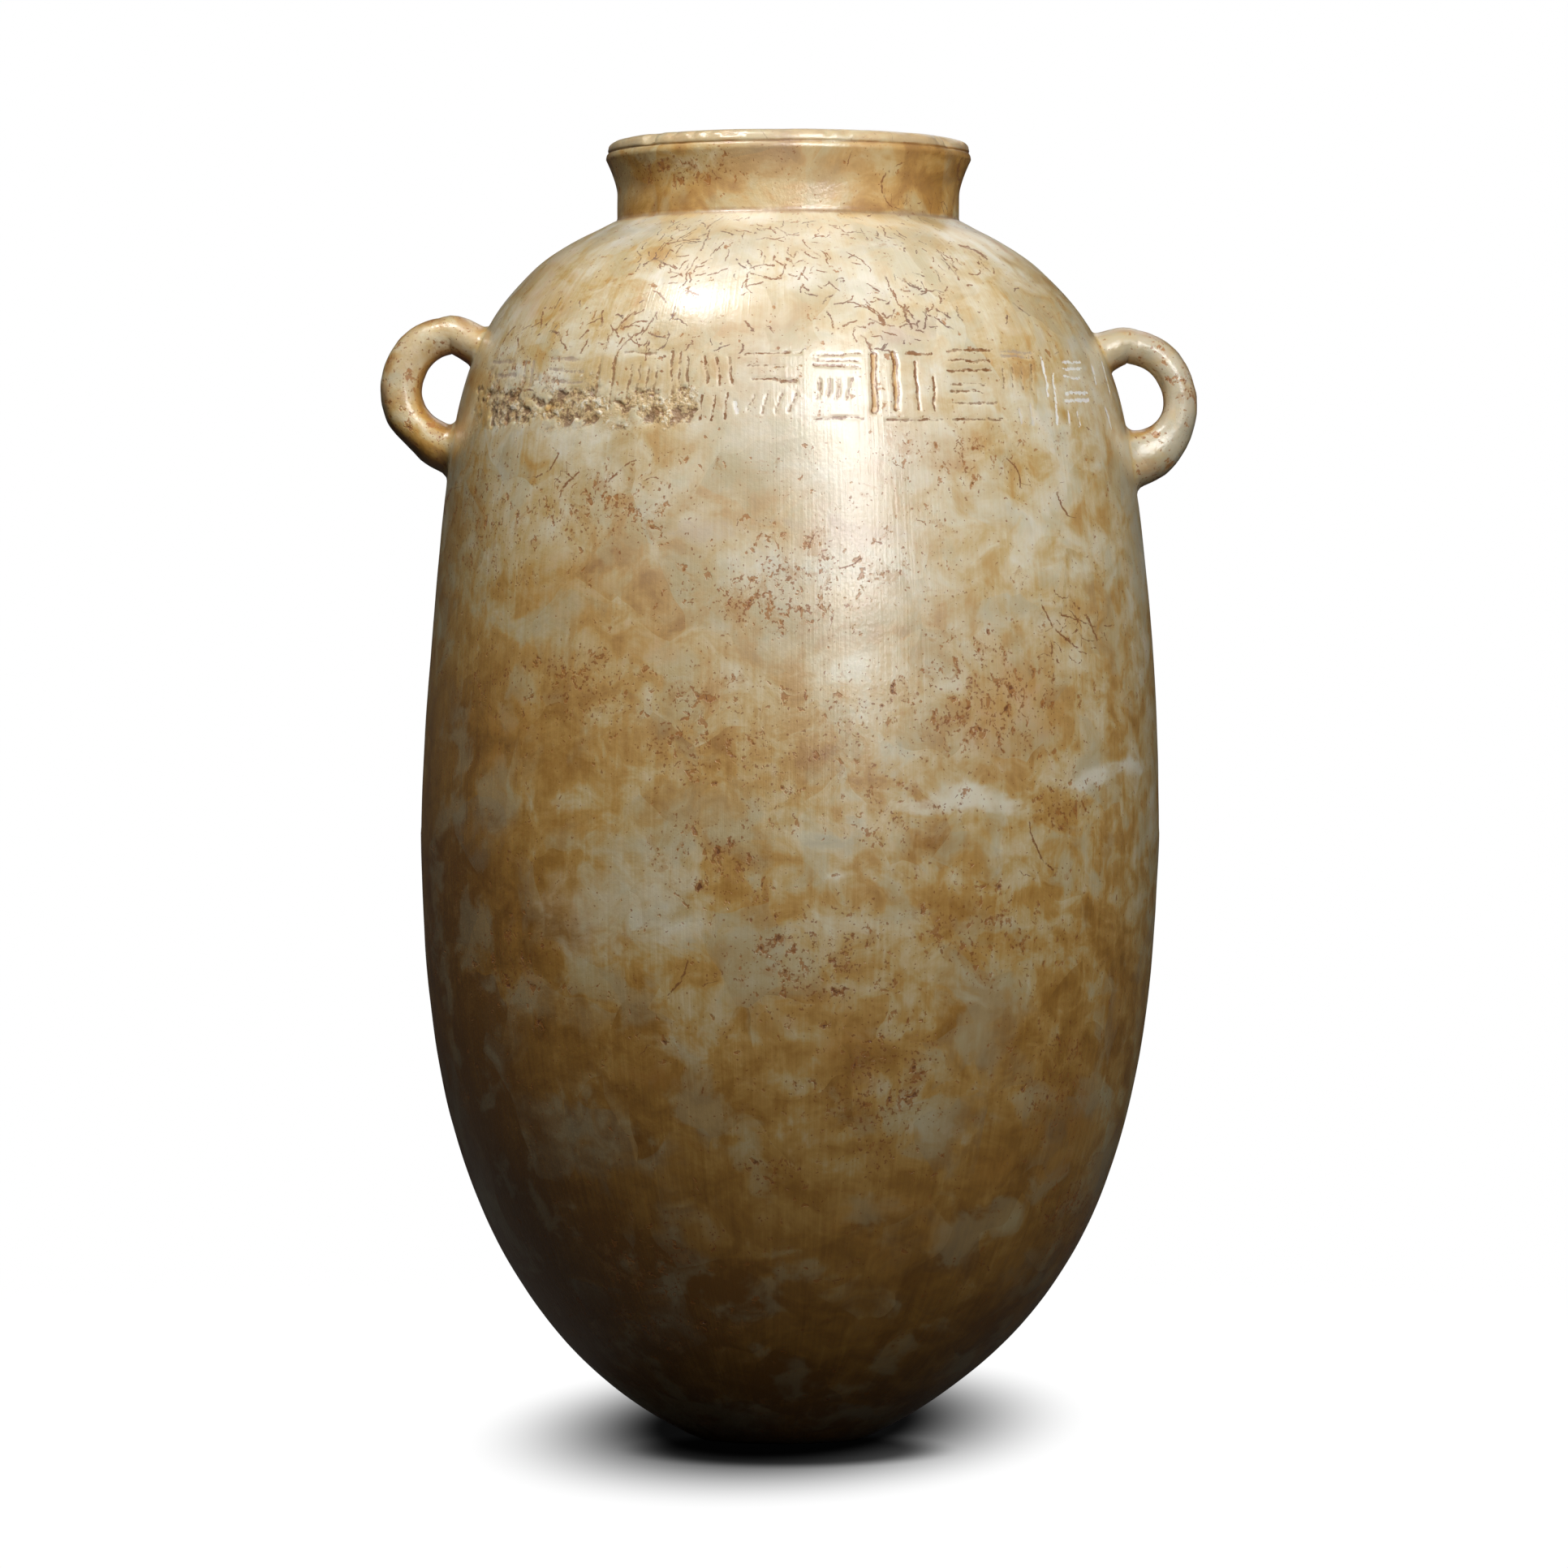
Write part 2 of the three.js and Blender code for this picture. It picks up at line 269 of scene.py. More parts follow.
def band_strokes():
    rng = np.random.default_rng(41)
    out = []           # (x0, y0, x1, y1, width mm, depth mm, brown, white)

    def line(x0, t0, x1, t1, w=0.55, d=0.42, brown=1.0, white=0.0):
        h = BAND_BASE_PX - BAND_TOP_PX
        out.append((x0, BAND_TOP_PX + t0 * h, x1, BAND_TOP_PX + t1 * h, w, d, brown, white))

    def uprights(x, n, gap, t0, t1, lean=0.0, w=0.6, **k):
        for i in range(n):
            a, b = rng.uniform(-0.03, 0.03, 2)
            line(x + i * gap, t0 + a, x + i * gap + lean, t1 + b, w, **k)

    def rules(x, n, length, t, dt, w=0.5, **k):
        for i in range(n):
            a, b = rng.uniform(-2, 2, 2)
            line(x + a, t + i * dt, x + length + b, t + i * dt + rng.uniform(-0.02, 0.02), w, **k)

    faint = dict(d=0.25, brown=0.65, white=0.15)
    rules(606, 1, 26, 0.12, 0.1, 0.45, **faint)
    rules(612, 1, 22, 0.32, 0.1, 0.45, **faint)
    uprights(648, 2, 10, 0.10, 0.44, -5, 0.5, **faint)
    rules(678, 3, 40, 0.08, 0.16, 0.5, **faint)
    uprights(740, 2, 18, 0.05, 0.80, -9, 0.6, brown=0.8)
    rules(772, 1, 34, -0.02, 0.1, 0.5, brown=0.8)
    uprights(778, 4, 10.5, 0.16, 0.70, -6, 0.5, brown=0.8)
    uprights(828, 3, 9.5, 0.0, 0.72, 1, 0.5, brown=0.85)
    # two rows of slanting strokes at the middle, then long level ones
    uprights(868, 3, 15, 0.04, 0.44, 4, 0.6)
    uprights(866, 3, 15, 0.58, 0.98, -4, 0.55)
    line(916, 0.0, 986, -0.03, 0.5)
    line(922, 0.17, 974, 0.19, 0.5, brown=0.8)
    line(926, 0.36, 982, 0.41, 0.5)
    uprights(930, 4, 17, 0.60, 0.86, -9, 0.55, brown=0.75)
    line(906, 0.72, 907, 0.86, 0.9, 0.3, 0.1, 0.8)
    rules(1001, 3, 58, 0.02, 0.075, 0.5)
    uprights(1010, 4, 13, 0.36, 0.66, -4, 0.5, brown=0.85)
    # broad uprights, cut out between two edges
    line(1076, 0.04, 1078, 0.82, 2.6, 0.5)
    line(1101, 0.0, 1105, 0.80, 1.9, 0.5)
    line(1127, 0.14, 1131, 0.82, 1.0, 0.45)
    rules(1118, 1, 30, -0.01, 0.1, 0.9)
    line(1149, 0.36, 1151, 0.84, 0.7)
    rules(1166, 3, 54, -0.06, 0.155, 0.5)
    rules(1172, 2, 44, 0.44, 0.12, 0.5, brown=0.9)
    rules(1170, 1, 58, 0.72, 0.1, 0.35, brown=0.75)
    rules(1232, 2, 38, -0.04, 0.07, 0.35, brown=0.6, white=0.2)
    uprights(1236, 4, 11.5, 0.20, 0.50, 1, 0.5, brown=0.8)
    rules(1001, 1, 64, 0.96, 0.1, 0.5)
    rules(1094, 1, 68, 0.97, 0.1, 0.5)
    rules(1172, 1, 66, 0.98, 0.1, 0.5)
    uprights(1256, 2, 14, 0.76, 1.04, 3, 0.5, brown=0.4, white=0.5)
    # fresh pale strokes near the right handle
    white = dict(brown=0.0, white=1.0, d=0.3)
    line(1283, 0.06, 1292, 0.60, 0.5, **white)
    line(1298, 0.30, 1303, 1.04, 0.5, **white)
    rules(1310, 3, 22, 0.12, 0.11, 0.35, **white)
    rules(1312, 2, 28, 0.58, 0.12, 0.45, **white)
    uprights(1316, 2, 12, 0.82, 1.08, 3, 0.4, **white)
    line(1345, 0.16, 1352, 0.48, 0.4, **white)
    line(1358, 0.12, 1368, 0.62, 0.5, **white)
    line(1362, 0.80, 1370, 1.10, 0.4, **white)
    line(1378, 0.64, 1385, 0.95, 0.4, **white)
    return out


def unroll(px, py):
    """The photo's x, where the skin is laid flat round the girth."""
    k = 1.04
    for _ in range(4):
        z = 252.2 + (966.0 - py) / (3.194 * k)
        R = float(body_radius(z))
        s = min(0.996, max(-0.996, ((px - 971.5) / (3.194 * k) - float(drift(z))) / R))
        k = 3225.0 / (3225.0 - R * math.sqrt(1 - s * s))
    return 971.5 + R * math.asin(s) * 3.3, math.sqrt(1 - s * s)


def stroke_fields(px, py, P):
    """Depth of the strokes, the distance in mm from the nearest one's edge, and its brown and white fill, at points given in photo pixels."""
    depth = np.zeros(len(px)); brown = np.zeros(len(px)); white = np.zeros(len(px)); gap = np.full(len(px), 3.0)
    wx = px + 1.9 * noise3(P, 5.0, 5) + 0.8 * noise3(P, 1.8, 6)
    wy = py + 1.9 * noise3(P, 5.0, 7) + 0.8 * noise3(P, 1.8, 8)
    wear = 0.25 * noise3(P, 4.0, 9) + 0.12
    for x0, y0, x1, y1, w, d, b, wh in band_strokes():
        (x0, c0), (x1, c1) = unroll(x0, y0), unroll(x1, y1)
        w = w * min(2.0, 2.0 / (c0 + c1))
        near = (px > min(x0, x1) - 14) & (px < max(x0, x1) + 14) & (py > min(y0, y1) - 14) & (py < max(y0, y1) + 14)
        if not near.any():
            continue
        ax, ay = wx[near] - x0, wy[near] - y0
        ux, uy = x1 - x0, y1 - y0
        t = np.clip((ax * ux + ay * uy) / max(ux * ux + uy * uy, 1e-6), 0, 1)
        off = np.hypot(ax - t * ux, ay - t * uy) / 3.194 - w * 0.5 + wear[near]         # mm
        depth[near] = np.maximum(depth[near], (1 - sstep(off, -0.15, 0.65)) * d)
        closer = off < gap[near]
        gap[near] = np.where(closer, off, gap[near])
        brown[near] = np.where(closer, b, brown[near])
        white[near] = np.where(closer, wh, white[near])
    return depth, gap, brown, white


# long thin cracks: photo x, y of each end, and how far the middle bows aside, in pixels
HAIRS = [(1113, 199, 1102, 258, 22), (1187, 192, 1183, 224, 4), (1236, 562, 1258, 604, -7), (1300, 598, 1322, 640, 5),
         (1166, 300, 1218, 322, -6), (905, 318, 965, 344, 8), (1040, 372, 1092, 400, -8), (1282, 742, 1330, 800, 7),
         (1318, 740, 1352, 792, -6), (560, 596, 548, 640, 4), (1030, 700, 1064, 688, 3), (742, 604, 786, 566, -5),
         (652, 592, 690, 556, 6), (690, 610, 716, 580, -4), (1268, 1010, 1300, 1074, 7), (820, 1228, 848, 1180, 6)]


def hair_field(px, py, front):
    """Signed distance in mm from the nearest long crack, and how surely it is there."""
    off = np.full(len(px), 9.0)
    sure = np.zeros(len(px))
    for x0, y0, x1, y1, bow in HAIRS:
        n = math.hypot(x1 - x0, y1 - y0)
        ux, uy = (x1 - x0) / n, (y1 - y0) / n
        u = ((px - x0) * ux + (py - y0) * uy) / n
        v = -(px - x0) * uy + (py - y0) * ux - bow * 4 * u * (1 - u)
        m = (1 - sstep(np.abs(v), 8, 24)) * sstep(u, -0.04, 0.12) * (1 - sstep(u, 0.88, 1.04)) * front
        off = np.where(m > sure, v / 3.194, off)
        sure = np.maximum(sure, m)
    return np.clip(off, -9, 9), sure


def photo_xy(phi, z, r):
    """Where a point of the jar's front shows in the photograph."""
    X = r * np.sin(phi) + drift(z)
    depth = r * np.cos(phi)
    k = 3225.0 / (3225.0 - depth)
    return 971.5 + X * k * 3.194, 966.0 - (z - 252.2) * k * 3.194


def surface_fields(P):
    """Everything that varies by place, from points in mm on the jar."""
    x, y, z = P.T
    cx = x - drift(z)
    phi = np.arctan2(cx, -y)
    r = np.hypot(cx, y)
    front = np.cos(phi) > 0.02
    px, py = photo_xy(phi, z, r)
    F = {}
    d, g, b, w = stroke_fields(np.where(front, 971.5 + r * phi * 3.3, -999), py, P)
    F["depth"], F["gap"], F["brown"], F["white"] = d, g, b, w
    # ground the mason roughed and weather has eaten, under the left half of the band
    n0, n1, n2 = fbm(P, 16, 3, 20, 0.6), fbm(P, 7, 4, 21, 0.65), fbm(P, 2.4, 3, 22, 0.6)
    ax = np.minimum(sstep(px, 566, 640), 1 - sstep(px, 826, 874))
    ay = np.minimum(sstep(py, 466, 504), 1 - sstep(py, 506, 536))
    core = np.minimum(ax, ay) - 0.55 * np.exp(-((px - 752) / 9.0) ** 2) * (1 - sstep(py, 492, 514))
    eat = sstep(core + (0.7 * n0 + 1.5 * n1 + 0.9 * n2) * sstep(core, 0.0, 0.30), 0.30, 0.86)
    ax = np.minimum(sstep(px, 560, 625), 1 - sstep(px, 725, 775))
    ay = np.minimum(sstep(py, 432, 470), 1 - sstep(py, 494, 512))
    faint = 0.55 * sstep(np.minimum(ax, ay) * (0.75 + 1.2 * n1 + 0.9 * n2), 0.55, 1.0)
    F["rough"] = np.where(front, np.maximum(eat, faint), 0)
    return F, phi, r, px, py, front


# ------------------------------------------------------------------ soft patches of the stone
# (photo x, y, half-width, half-height in pixels, tilt in degrees, strength, kind)
PATCHES = [
    # pale, cloudy calcite
    (770, 1110, 130, 98, -8, 0.85, "pale"), (985, 330, 150, 80, 0, 0.5, "pale"), (1185, 985, 110, 20, 3, 0.95, "white"),
    (1360, 958, 70, 18, -6, 0.9, "white"), (1010, 690, 130, 60, 0, 0.5, "pale"), (745, 560, 60, 40, 10, 0.55, "pale"),
    (860, 560, 60, 36, -10, 0.5, "pale"), (1200, 640, 90, 60, 0, 0.5, "pale"), (1300, 700, 80, 50, 0, 0.5, "pale"),
    (1215, 1210, 55, 60, 20, 0.5, "pale"), (1130, 1370, 110, 34, 35, 0.55, "pale"), (850, 1270, 90, 50, -20, 0.5, "pale"),
    (960, 1420, 70, 60, 0, 0.4, "pale"), (1060, 830, 70, 26, 0, 0.55, "white"), (1010, 1160, 90, 30, -10, 0.5, "pale"),
    (690, 980, 70, 34, -20, 0.45, "pale"), (600, 690, 40, 60, 0, 0.35, "pale"), (900, 1500, 80, 50, 0, 0.35, "pale"),
    (1025, 1076, 15, 12, 0, 1.0, "white"), (925, 765, 9, 9, 0, 0.9, "white"), (615, 745, 8, 6, 0, 0.7, "white"),
    # grey, glassy stone
    (1035, 1030, 66, 34, -12, 0.55, "grey"), (1090, 845, 70, 40, 0, 0.45, "grey"), (820, 1190, 90, 26, -14, 0.4, "grey"),
    (1110, 940, 60, 50, 0, 0.4, "grey"), (1350, 1080, 50, 60, 0, 0.3, "grey"), (985, 630, 70, 36, 0, 0.35, "grey"),
    (930, 1340, 60, 60, 0, 0.35, "grey"),
    # ochre and honey
    (700, 740, 90, 70, 15, 0.5, "ochre"), (780, 800, 90, 44, 0, 0.5, "ochre"), (1250, 880, 90, 100, 12, 0.7, "ochre"),
    (650, 1150, 50, 120, -6, 0.5, "ochre"), (900, 960, 120, 40, 0, 0.4, "ochre"), (1310, 1390, 60, 110, 14, 0.5, "rust"),
    (1050, 1290, 60, 90, -8, 0.55, "ochre"), (960, 1240, 90, 40, 0, 0.5, "ochre"), (1230, 1420, 60, 90, 10, 0.6, "ochre"),
    (800, 1320, 70, 40, 0, 0.5, "rust"), (620, 900, 70, 60, 0, 0.55, "ochre"), (1100, 1520, 110, 70, 0, 0.5, "ochre"),
    (1030, 500, 30, 40, 0, 0.5, "ochre"), (670, 350, 50, 80, 30, 0.5, "ochre"), (1270, 400, 60, 90, -30, 0.4, "ochre"),
    (800, 200, 80, 13, 6, 0.9, "brown"), (820, 230, 90, 26, 0, 0.3, "ochre"), (880, 1100, 22, 90, 0, 0.35, "ochre"), (750, 1000, 140, 12, 0, 0.4, "ochre"),
    (1170, 1120, 100, 30, 0, 0.45, "ochre"), (1380, 880, 34, 110, 0, 0.4, "ochre"),
    # brown and violet-brown stains
    (670, 855, 150, 20, 2, 0.7, "brown"), (860, 850, 90, 14, -4, 0.5, "brown"), (900, 645, 120, 20, -4, 0.6, "pink"),
    (1050, 655, 110, 30, 6, 0.7, "pink"), (1110, 400, 80, 40, 20, 0.6, "pink"), (720, 400, 80, 50, 20, 0.35, "brown"),
    (1190, 840, 46, 40, 0, 0.55, "brown"), (1240, 980, 60, 30, 0, 0.4, "brown"), (640, 1010, 40, 60, 20, 0.4, "brown"),
    (950, 1240, 40, 24, 0, 0.5, "brown"), (780, 1620, 60, 50, 20, 0.5, "brown"), (600, 1240, 30, 70, 10, 0.4, "brown"),
    (945, 1060, 12, 70, 0, 0.4, "brown"), (1050, 1340, 20, 60, 0, 0.5, "brown"), (1010, 1530, 70, 30, 0, 0.4, "brown"),
    (1130, 1188, 170, 5, 1, 0.6, "brown"), (880, 570, 50, 12, 0, 0.5, "brown"), (1010, 262, 130, 8, 0, 0.3, "brown"),
    (570, 520, 30, 70, 0, 0.5, "brown"), (640, 610, 40, 14, 0, 0.4, "brown"), (1320, 780, 60, 40, 0, 0.35, "pink"),
]
# where fine cracks and pits gather: (x, y, half-width, half-height, strength, kind)
GATHER = [
    (835, 320, 70, 50, 1.0, "crack"), (980, 340, 90, 40, 0.8, "crack"), (1105, 385, 95, 50, 1.0, "crack"),
    (770, 410, 110, 50, 0.75, "crack"), (960, 425, 120, 24, 0.5, "crack"), (1180, 330, 80, 34, 0.6, "crack"),
    (1325, 778, 60, 44, 0.8, "crack"), (1130, 262, 90, 40, 0.5, "crack"), (700, 590, 60, 34, 0.5, "crack"),
    (660, 440, 60, 60, 0.5, "crack"), (1000, 290, 160, 16, 0.6, "crack"), (700, 640, 120, 60, 0.7, "pit"),
    (1000, 730, 130, 80, 0.15, "crack"), (1165, 550, 90, 60, 0.3, "crack"), (1100, 870, 90, 50, 0.5, "pit"),
    (1030, 900, 90, 90, 0.6, "pit"), (1060, 660, 100, 50, 0.2, "crack"), (1060, 690, 130, 70, 0.45, "pit"), (600, 640, 60, 90, 0.6, "pit"), (1180, 560, 110, 60, 0.6, "pit"), (640, 470, 70, 60, 0.6, "pit"),
    (1215, 860, 110, 90, 1.0, "pit"), (1310, 990, 60, 60, 0.8, "pit"), (770, 620, 90, 60, 0.8, "pit"),
    (960, 720, 120, 80, 0.9, "pit"), (690, 850, 150, 60, 0.8, "pit"), (860, 900, 120, 100, 0.7, "pit"),
    (1000, 1190, 130, 80, 0.9, "pit"), (960, 1450, 50, 30, 1.0, "pit"), (1200, 1150, 100, 80, 0.8, "pit"),
    (1080, 1340, 90, 110, 0.9, "pit"), (830, 210, 100, 22, 1.0, "pit"), (880, 1060, 80, 80, 0.7, "pit"),
    (1290, 1320, 60, 90, 0.7, "pit"), (1320, 1500, 60, 60, 0.8, "pit"), (950, 950, 60, 60, 0.8, "pit"),
    (800, 1590, 120, 90, 0.6, "pit"), (640, 1190, 60, 80, 0.6, "pit"), (1120, 1000, 100, 60, 0.6, "pit"),
]
KINDS = ("pale", "white", "grey", "ochre", "rust", "brown", "pink")


def place_fields(P, phi, px, py, front):
    out = {k: np.zeros(len(P)) for k in KINDS + ("crack", "pit")}
    wx = 26 * fbm(P, 26, 4, 61, 0.6)
    wy = 26 * fbm(P, 26, 4, 62, 0.6)
    grain = 0.5 + 0.5 * fbm(P, 9, 3, 63, 0.6)
    for x, y, hw, hh, tilt, s, kind in PATCHES:
        t = math.radians(tilt)
        dx, dy = px + wx - x, py + wy - y
        u = (dx * math.cos(t) + dy * math.sin(t)) / hw
        v = (-dx * math.sin(t) + dy * math.cos(t)) / hh
        d = np.sqrt(u * u + v * v)
        m = (1 - sstep(d, 0.35, 1.25)) * s * np.clip(0.55 + 0.7 * grain, 0, 1.1)
        out[kind] = np.maximum(out[kind], np.where(front, m, 0))
    for x, y, hw, hh, s, kind in GATHER:
        d = np.hypot((px + 0.8 * wx - x) / hw, (py + 0.8 * wy - y) / hh)
        out[kind] = np.maximum(out[kind], np.where(front, (1 - sstep(d, 0.2, 1.3)) * s, 0))
    # the back is the same stone, marked a little less
    back = np.clip(-np.cos(phi) * 1.6 + 0.25, 0, 1)
    big = [fbm(P, 62, 4, 70 + i, 0.55) for i in range(6)]
    for i, (kind, cut, top) in enumerate((("pale", 0.02, 0.42), ("ochre", 0.04, 0.40), ("brown", 0.14, 0.45),
                                          ("grey", 0.12, 0.5), ("crack", 0.10, 0.7), ("pit", 0.02, 0.8))):
        out[kind] = np.maximum(out[kind], back * top * sstep(big[i], cut, cut + 0.25))
    return out


# ------------------------------------------------------------------ handles
HANDLES = [
    dict(side=-1, cx=130.0, cz=403.1, hw=19.5, hh=22.0, top=13.4, out=16.2, foot=19.5, tuck=0.10, slim=2.0, drop=12.0, flare=0.16),
    dict(side=1, cx=130.4, cz=399.3, hw=20.6, hh=21.8, top=13.7, out=13.2, foot=24.0, tuck=0.0, slim=0.0, drop=9.0, flare=0.30),
]


def catmull(points, n):
    """n points evenly along a smooth curve through the given ones."""
    Q = np.vstack([2 * points[0] - points[1], points, 2 * points[-1] - points[-2]])
    out = []
    for i in range(1, len(Q) - 2):
        for t in np.linspace(0, 1, 40, endpoint=False):
            a, b, c, d = Q[i - 1], Q[i], Q[i + 1], Q[i + 2]
            out.append(0.5 * ((2 * b) + (c - a) * t + (2 * a - 5 * b + 4 * c - d) * t ** 2 + (3 * b - a - 3 * c + d) * t ** 3))
    out.append(points[-1])
    out = np.array(out)
    s = np.r_[0, np.cumsum(np.linalg.norm(np.diff(out, axis=0), axis=1))]
    w = np.linspace(0, s[-1], n)
    return np.c_[np.interp(w, s, out[:, 0]), np.interp(w, s, out[:, 1])]


def handle_mesh(h, rings_n=82, sides=40):
    root = lambda z: float(body_radius(z)) - 15.0
    up, lo = h["cz"] + h["hh"] - h["drop"], h["cz"] - h["hh"] + 1
    pts = [(root(up), up)]
    for a in range(100, -101, -20):
        t = math.radians(a)
        k = 1 - h["tuck"] * math.exp(-((a + 52) / 30.0) ** 2)
        pts.append((h["cx"] + h["hw"] * k * math.cos(t), h["cz"] + h["hh"] * k * math.sin(t)))
    pts.append((root(lo), lo))
    c = catmull(np.array(pts, float), rings_n)
    tan = np.gradient(c, axis=0)
    tan /= np.linalg.norm(tan, axis=1)[:, None]
    f = np.linspace(0, 1, rings_n)
    thick = h["out"] + (h["top"] - h["out"]) * (1 - sstep(f, 0.05, 0.5))
    thick = thick + (h["foot"] - thick) * sstep(f, 0.55, 0.9)
    near = np.maximum(1 - sstep(f, 0.05, 0.40), sstep(f, 0.62, 0.95))
    deep = 20.6 + (30.5 - 20.6) * near
    # the roots spread where they run out onto the body
    spread = 1 - sstep(f, 0.10, 0.27)
    spread2 = sstep(f, 0.80, 0.95)
    thick = (thick - h["slim"] * np.exp(-((f - 0.73) / 0.08) ** 2)) * (1 + h["flare"] * spread + 0.16 * spread2)
    deep = deep * (1 + 0.12 * spread + 0.14 * spread2)
    V, Fc = [], []
    for k in range(rings_n):
        nx, nz = tan[k][1], -tan[k][0]
        for j in range(sides):
            a = 2 * math.pi * j / sides
            # a slightly squared oval, as cut with a chisel and rubbed round
            ca, sa = math.cos(a), math.sin(a)
            q = (abs(ca) ** 2.3 + abs(sa) ** 2.3) ** (-1 / 2.3)
            V.append((h["side"] * (c[k, 0] + nx * ca * q * thick[k] / 2), sa * q * deep[k] / 2,
                      c[k, 1] + nz * ca * q * thick[k] / 2))
    for k in range(rings_n - 1):
        for j in range(sides):
            a, b = k * sides + j, k * sides + (j + 1) % sides
            Fc.append((a, b, b + sides, a + sides))
    V = np.array(V)
    c0, c1 = len(V), len(V) + 1
    V = np.vstack([V, V[:sides].mean(0), V[(rings_n - 1) * sides:rings_n * sides].mean(0)])
    for j in range(sides):
        Fc.append((c0, (j + 1) % sides, j))
        e = (rings_n - 1) * sides
        Fc.append((c1, e + j, e + (j + 1) % sides))
    if h["side"] > 0:
        Fc = [tuple(reversed(q)) for q in Fc]
    # rubbed by hand: small unevenness
    n = V - np.array([h["side"] * h["cx"], 0, h["cz"]])
    n /= np.maximum(np.linalg.norm(n, axis=1), 1e-6)[:, None]
    bump = 0.55 * fbm(V, 16, 2, 90 + h["side"]) + 0.16 * fbm(V, 4, 2, 95 + h["side"])
    V = V + n * bump[:, None] * 1.0
    lim = 157.5
    V[:, 0] = np.clip(V[:, 0], -lim, lim)
    return V, Fc


def new_mesh(name, V, faces):
    me = bpy.data.meshes.new(name)
    me.from_pydata([tuple(v) for v in V], [], faces)
    me.update()
    ob = bpy.data.objects.new(name, me)
    bpy.context.scene.collection.objects.link(ob)
    return ob


# ------------------------------------------------------------------ the vessel's surface
(PHI, RR, ZZ, NR, NZ, OUT), FACES = vessel_arrays()
OUT = OUT.astype(bool)
X = RR * np.sin(PHI) + drift(ZZ)
Y = -RR * np.cos(PHI)
P0 = np.c_[X, Y, ZZ]
N0 = np.c_[NR * np.sin(PHI), -NR * np.cos(PHI), NZ]
F, phi, rad, px, py, front = surface_fields(P0)



def crumbs(P):
    """How deep the eaten ground is bitten, in mm, crumb by crumb."""
    return 0.42 + 0.80 * fbm(P, 5.5, 3, 33, 0.62) + 0.34 * noise3(P, 1.9, 34)


body_zone = OUT & (ZZ > 0.2) & (ZZ < CREASE_Z - 0.2)
band_front = body_zone & front
d = np.zeros(len(P0))
# ground by hand along the outline: broad, very shallow unevenness
d += np.where(body_zone, 0.30 * fbm(P0, 70, 2, 3) + 0.13 * fbm(P0, 24, 2, 4) + 0.05 * fbm(P0, 11, 2, 14), 0) * sstep(ZZ, 2, 20)
vert = np.c_[np.cos(PHI) * 142, np.sin(PHI) * 142, ZZ * 0.12]
d += np.where(body_zone, 0.07 * fbm(vert, 9, 2, 12), 0)
# cut strokes, with a little raised burr at their edges, and the eroded ground
d -= np.where(band_front, F["depth"] * 0.85, 0)
eaten = crumbs(P0)
d -= np.where(band_front, F["rough"] * np.clip(eaten, -0.1, 1.3), 0)
# worn and bruised places on the neck and lip
neck_zone = OUT & (ZZ >= CREASE_Z + 0.3)
d += np.where(neck_zone, 0.14 * fbm(P0, 18, 2, 40), 0) * sstep(ZZ, CREASE_Z + 0.5, CREASE_Z + 4)
edge = np.exp(-((np.hypot(RR - 68.4, ZZ - 498.4)) / 2.6) ** 2) * OUT
chip_noise = fbm(np.c_[np.sin(PHI) * 68, np.cos(PHI) * 68, ZZ * 0.5], 13, 3, 44, 0.6)
chip = edge * sstep(chip_noise, 0.16, 0.40) * 1.5
dphi = lambda c, w: np.exp(-((np.angle(np.exp(1j * (PHI - c)))) / w) ** 2)
chip = chip + edge * (1.5 * dphi(1.13, 0.16) + 0.9 * dphi(0.72, 0.07) + 0.7 * dphi(0.45, 0.05)) * (0.75 + 0.5 * chip_noise)
small = edge * sstep(noise3(P0, 3.2, 47), 0.42, 0.75) * 0.6
P1 = P0 + N0 * d[:, None]
inward = np.c_[-np.sin(PHI) * 0.7, np.cos(PHI) * 0.7, -0.72 * np.ones(len(PHI))]
P1 += inward * (chip + small)[:, None]
# the hollow was drilled and reamed: faint turning rings inside
inner = ~OUT & (RR > 3)
P1[inner] += (N0 * (0.35 * np.sin(ZZ / 3.1) + 0.5 * fbm(P0, 22, 2, 50))[:, None])[inner]
P1[:, 0] = np.clip(P1[:, 0], -157.5, 157.5)
P1[:, 1] = np.clip(P1[:, 1], -142.05, 142.05)
P1[:, 2] = np.clip(P1[:, 2], 0.0, 499.98)
foot = (OUT & (ZZ < 1e-6))
P1[foot, 2] = 0.0

body = new_mesh("vessel_visual", P1, FACES)
tools = []
for h in HANDLES:
    V, Fc = handle_mesh(h)
    tools.append(new_mesh("handle_tool", V, Fc))
for tool in tools:
    mod = body.modifiers.new("join", "BOOLEAN")
    mod.operation = "UNION"
    mod.solver = "EXACT"
    mod.object = tool
deps = bpy.context.evaluated_depsgraph_get()
joined = bpy.data.meshes.new_from_object(body.evaluated_get(deps))
bpy.data.objects.remove(body)
for tool in tools:
    bpy.data.objects.remove(tool)

# ------------------------------------------------------------------ soften the roots of the handles
count = len(joined.vertices)
co = np.empty(count * 3); joined.vertices.foreach_get("co", co); co = co.reshape(-1, 3)
ne = len(joined.edges)
ed = np.empty(ne * 2, np.int64); joined.edges.foreach_get("vertices", ed); ed = ed.reshape(-1, 2)


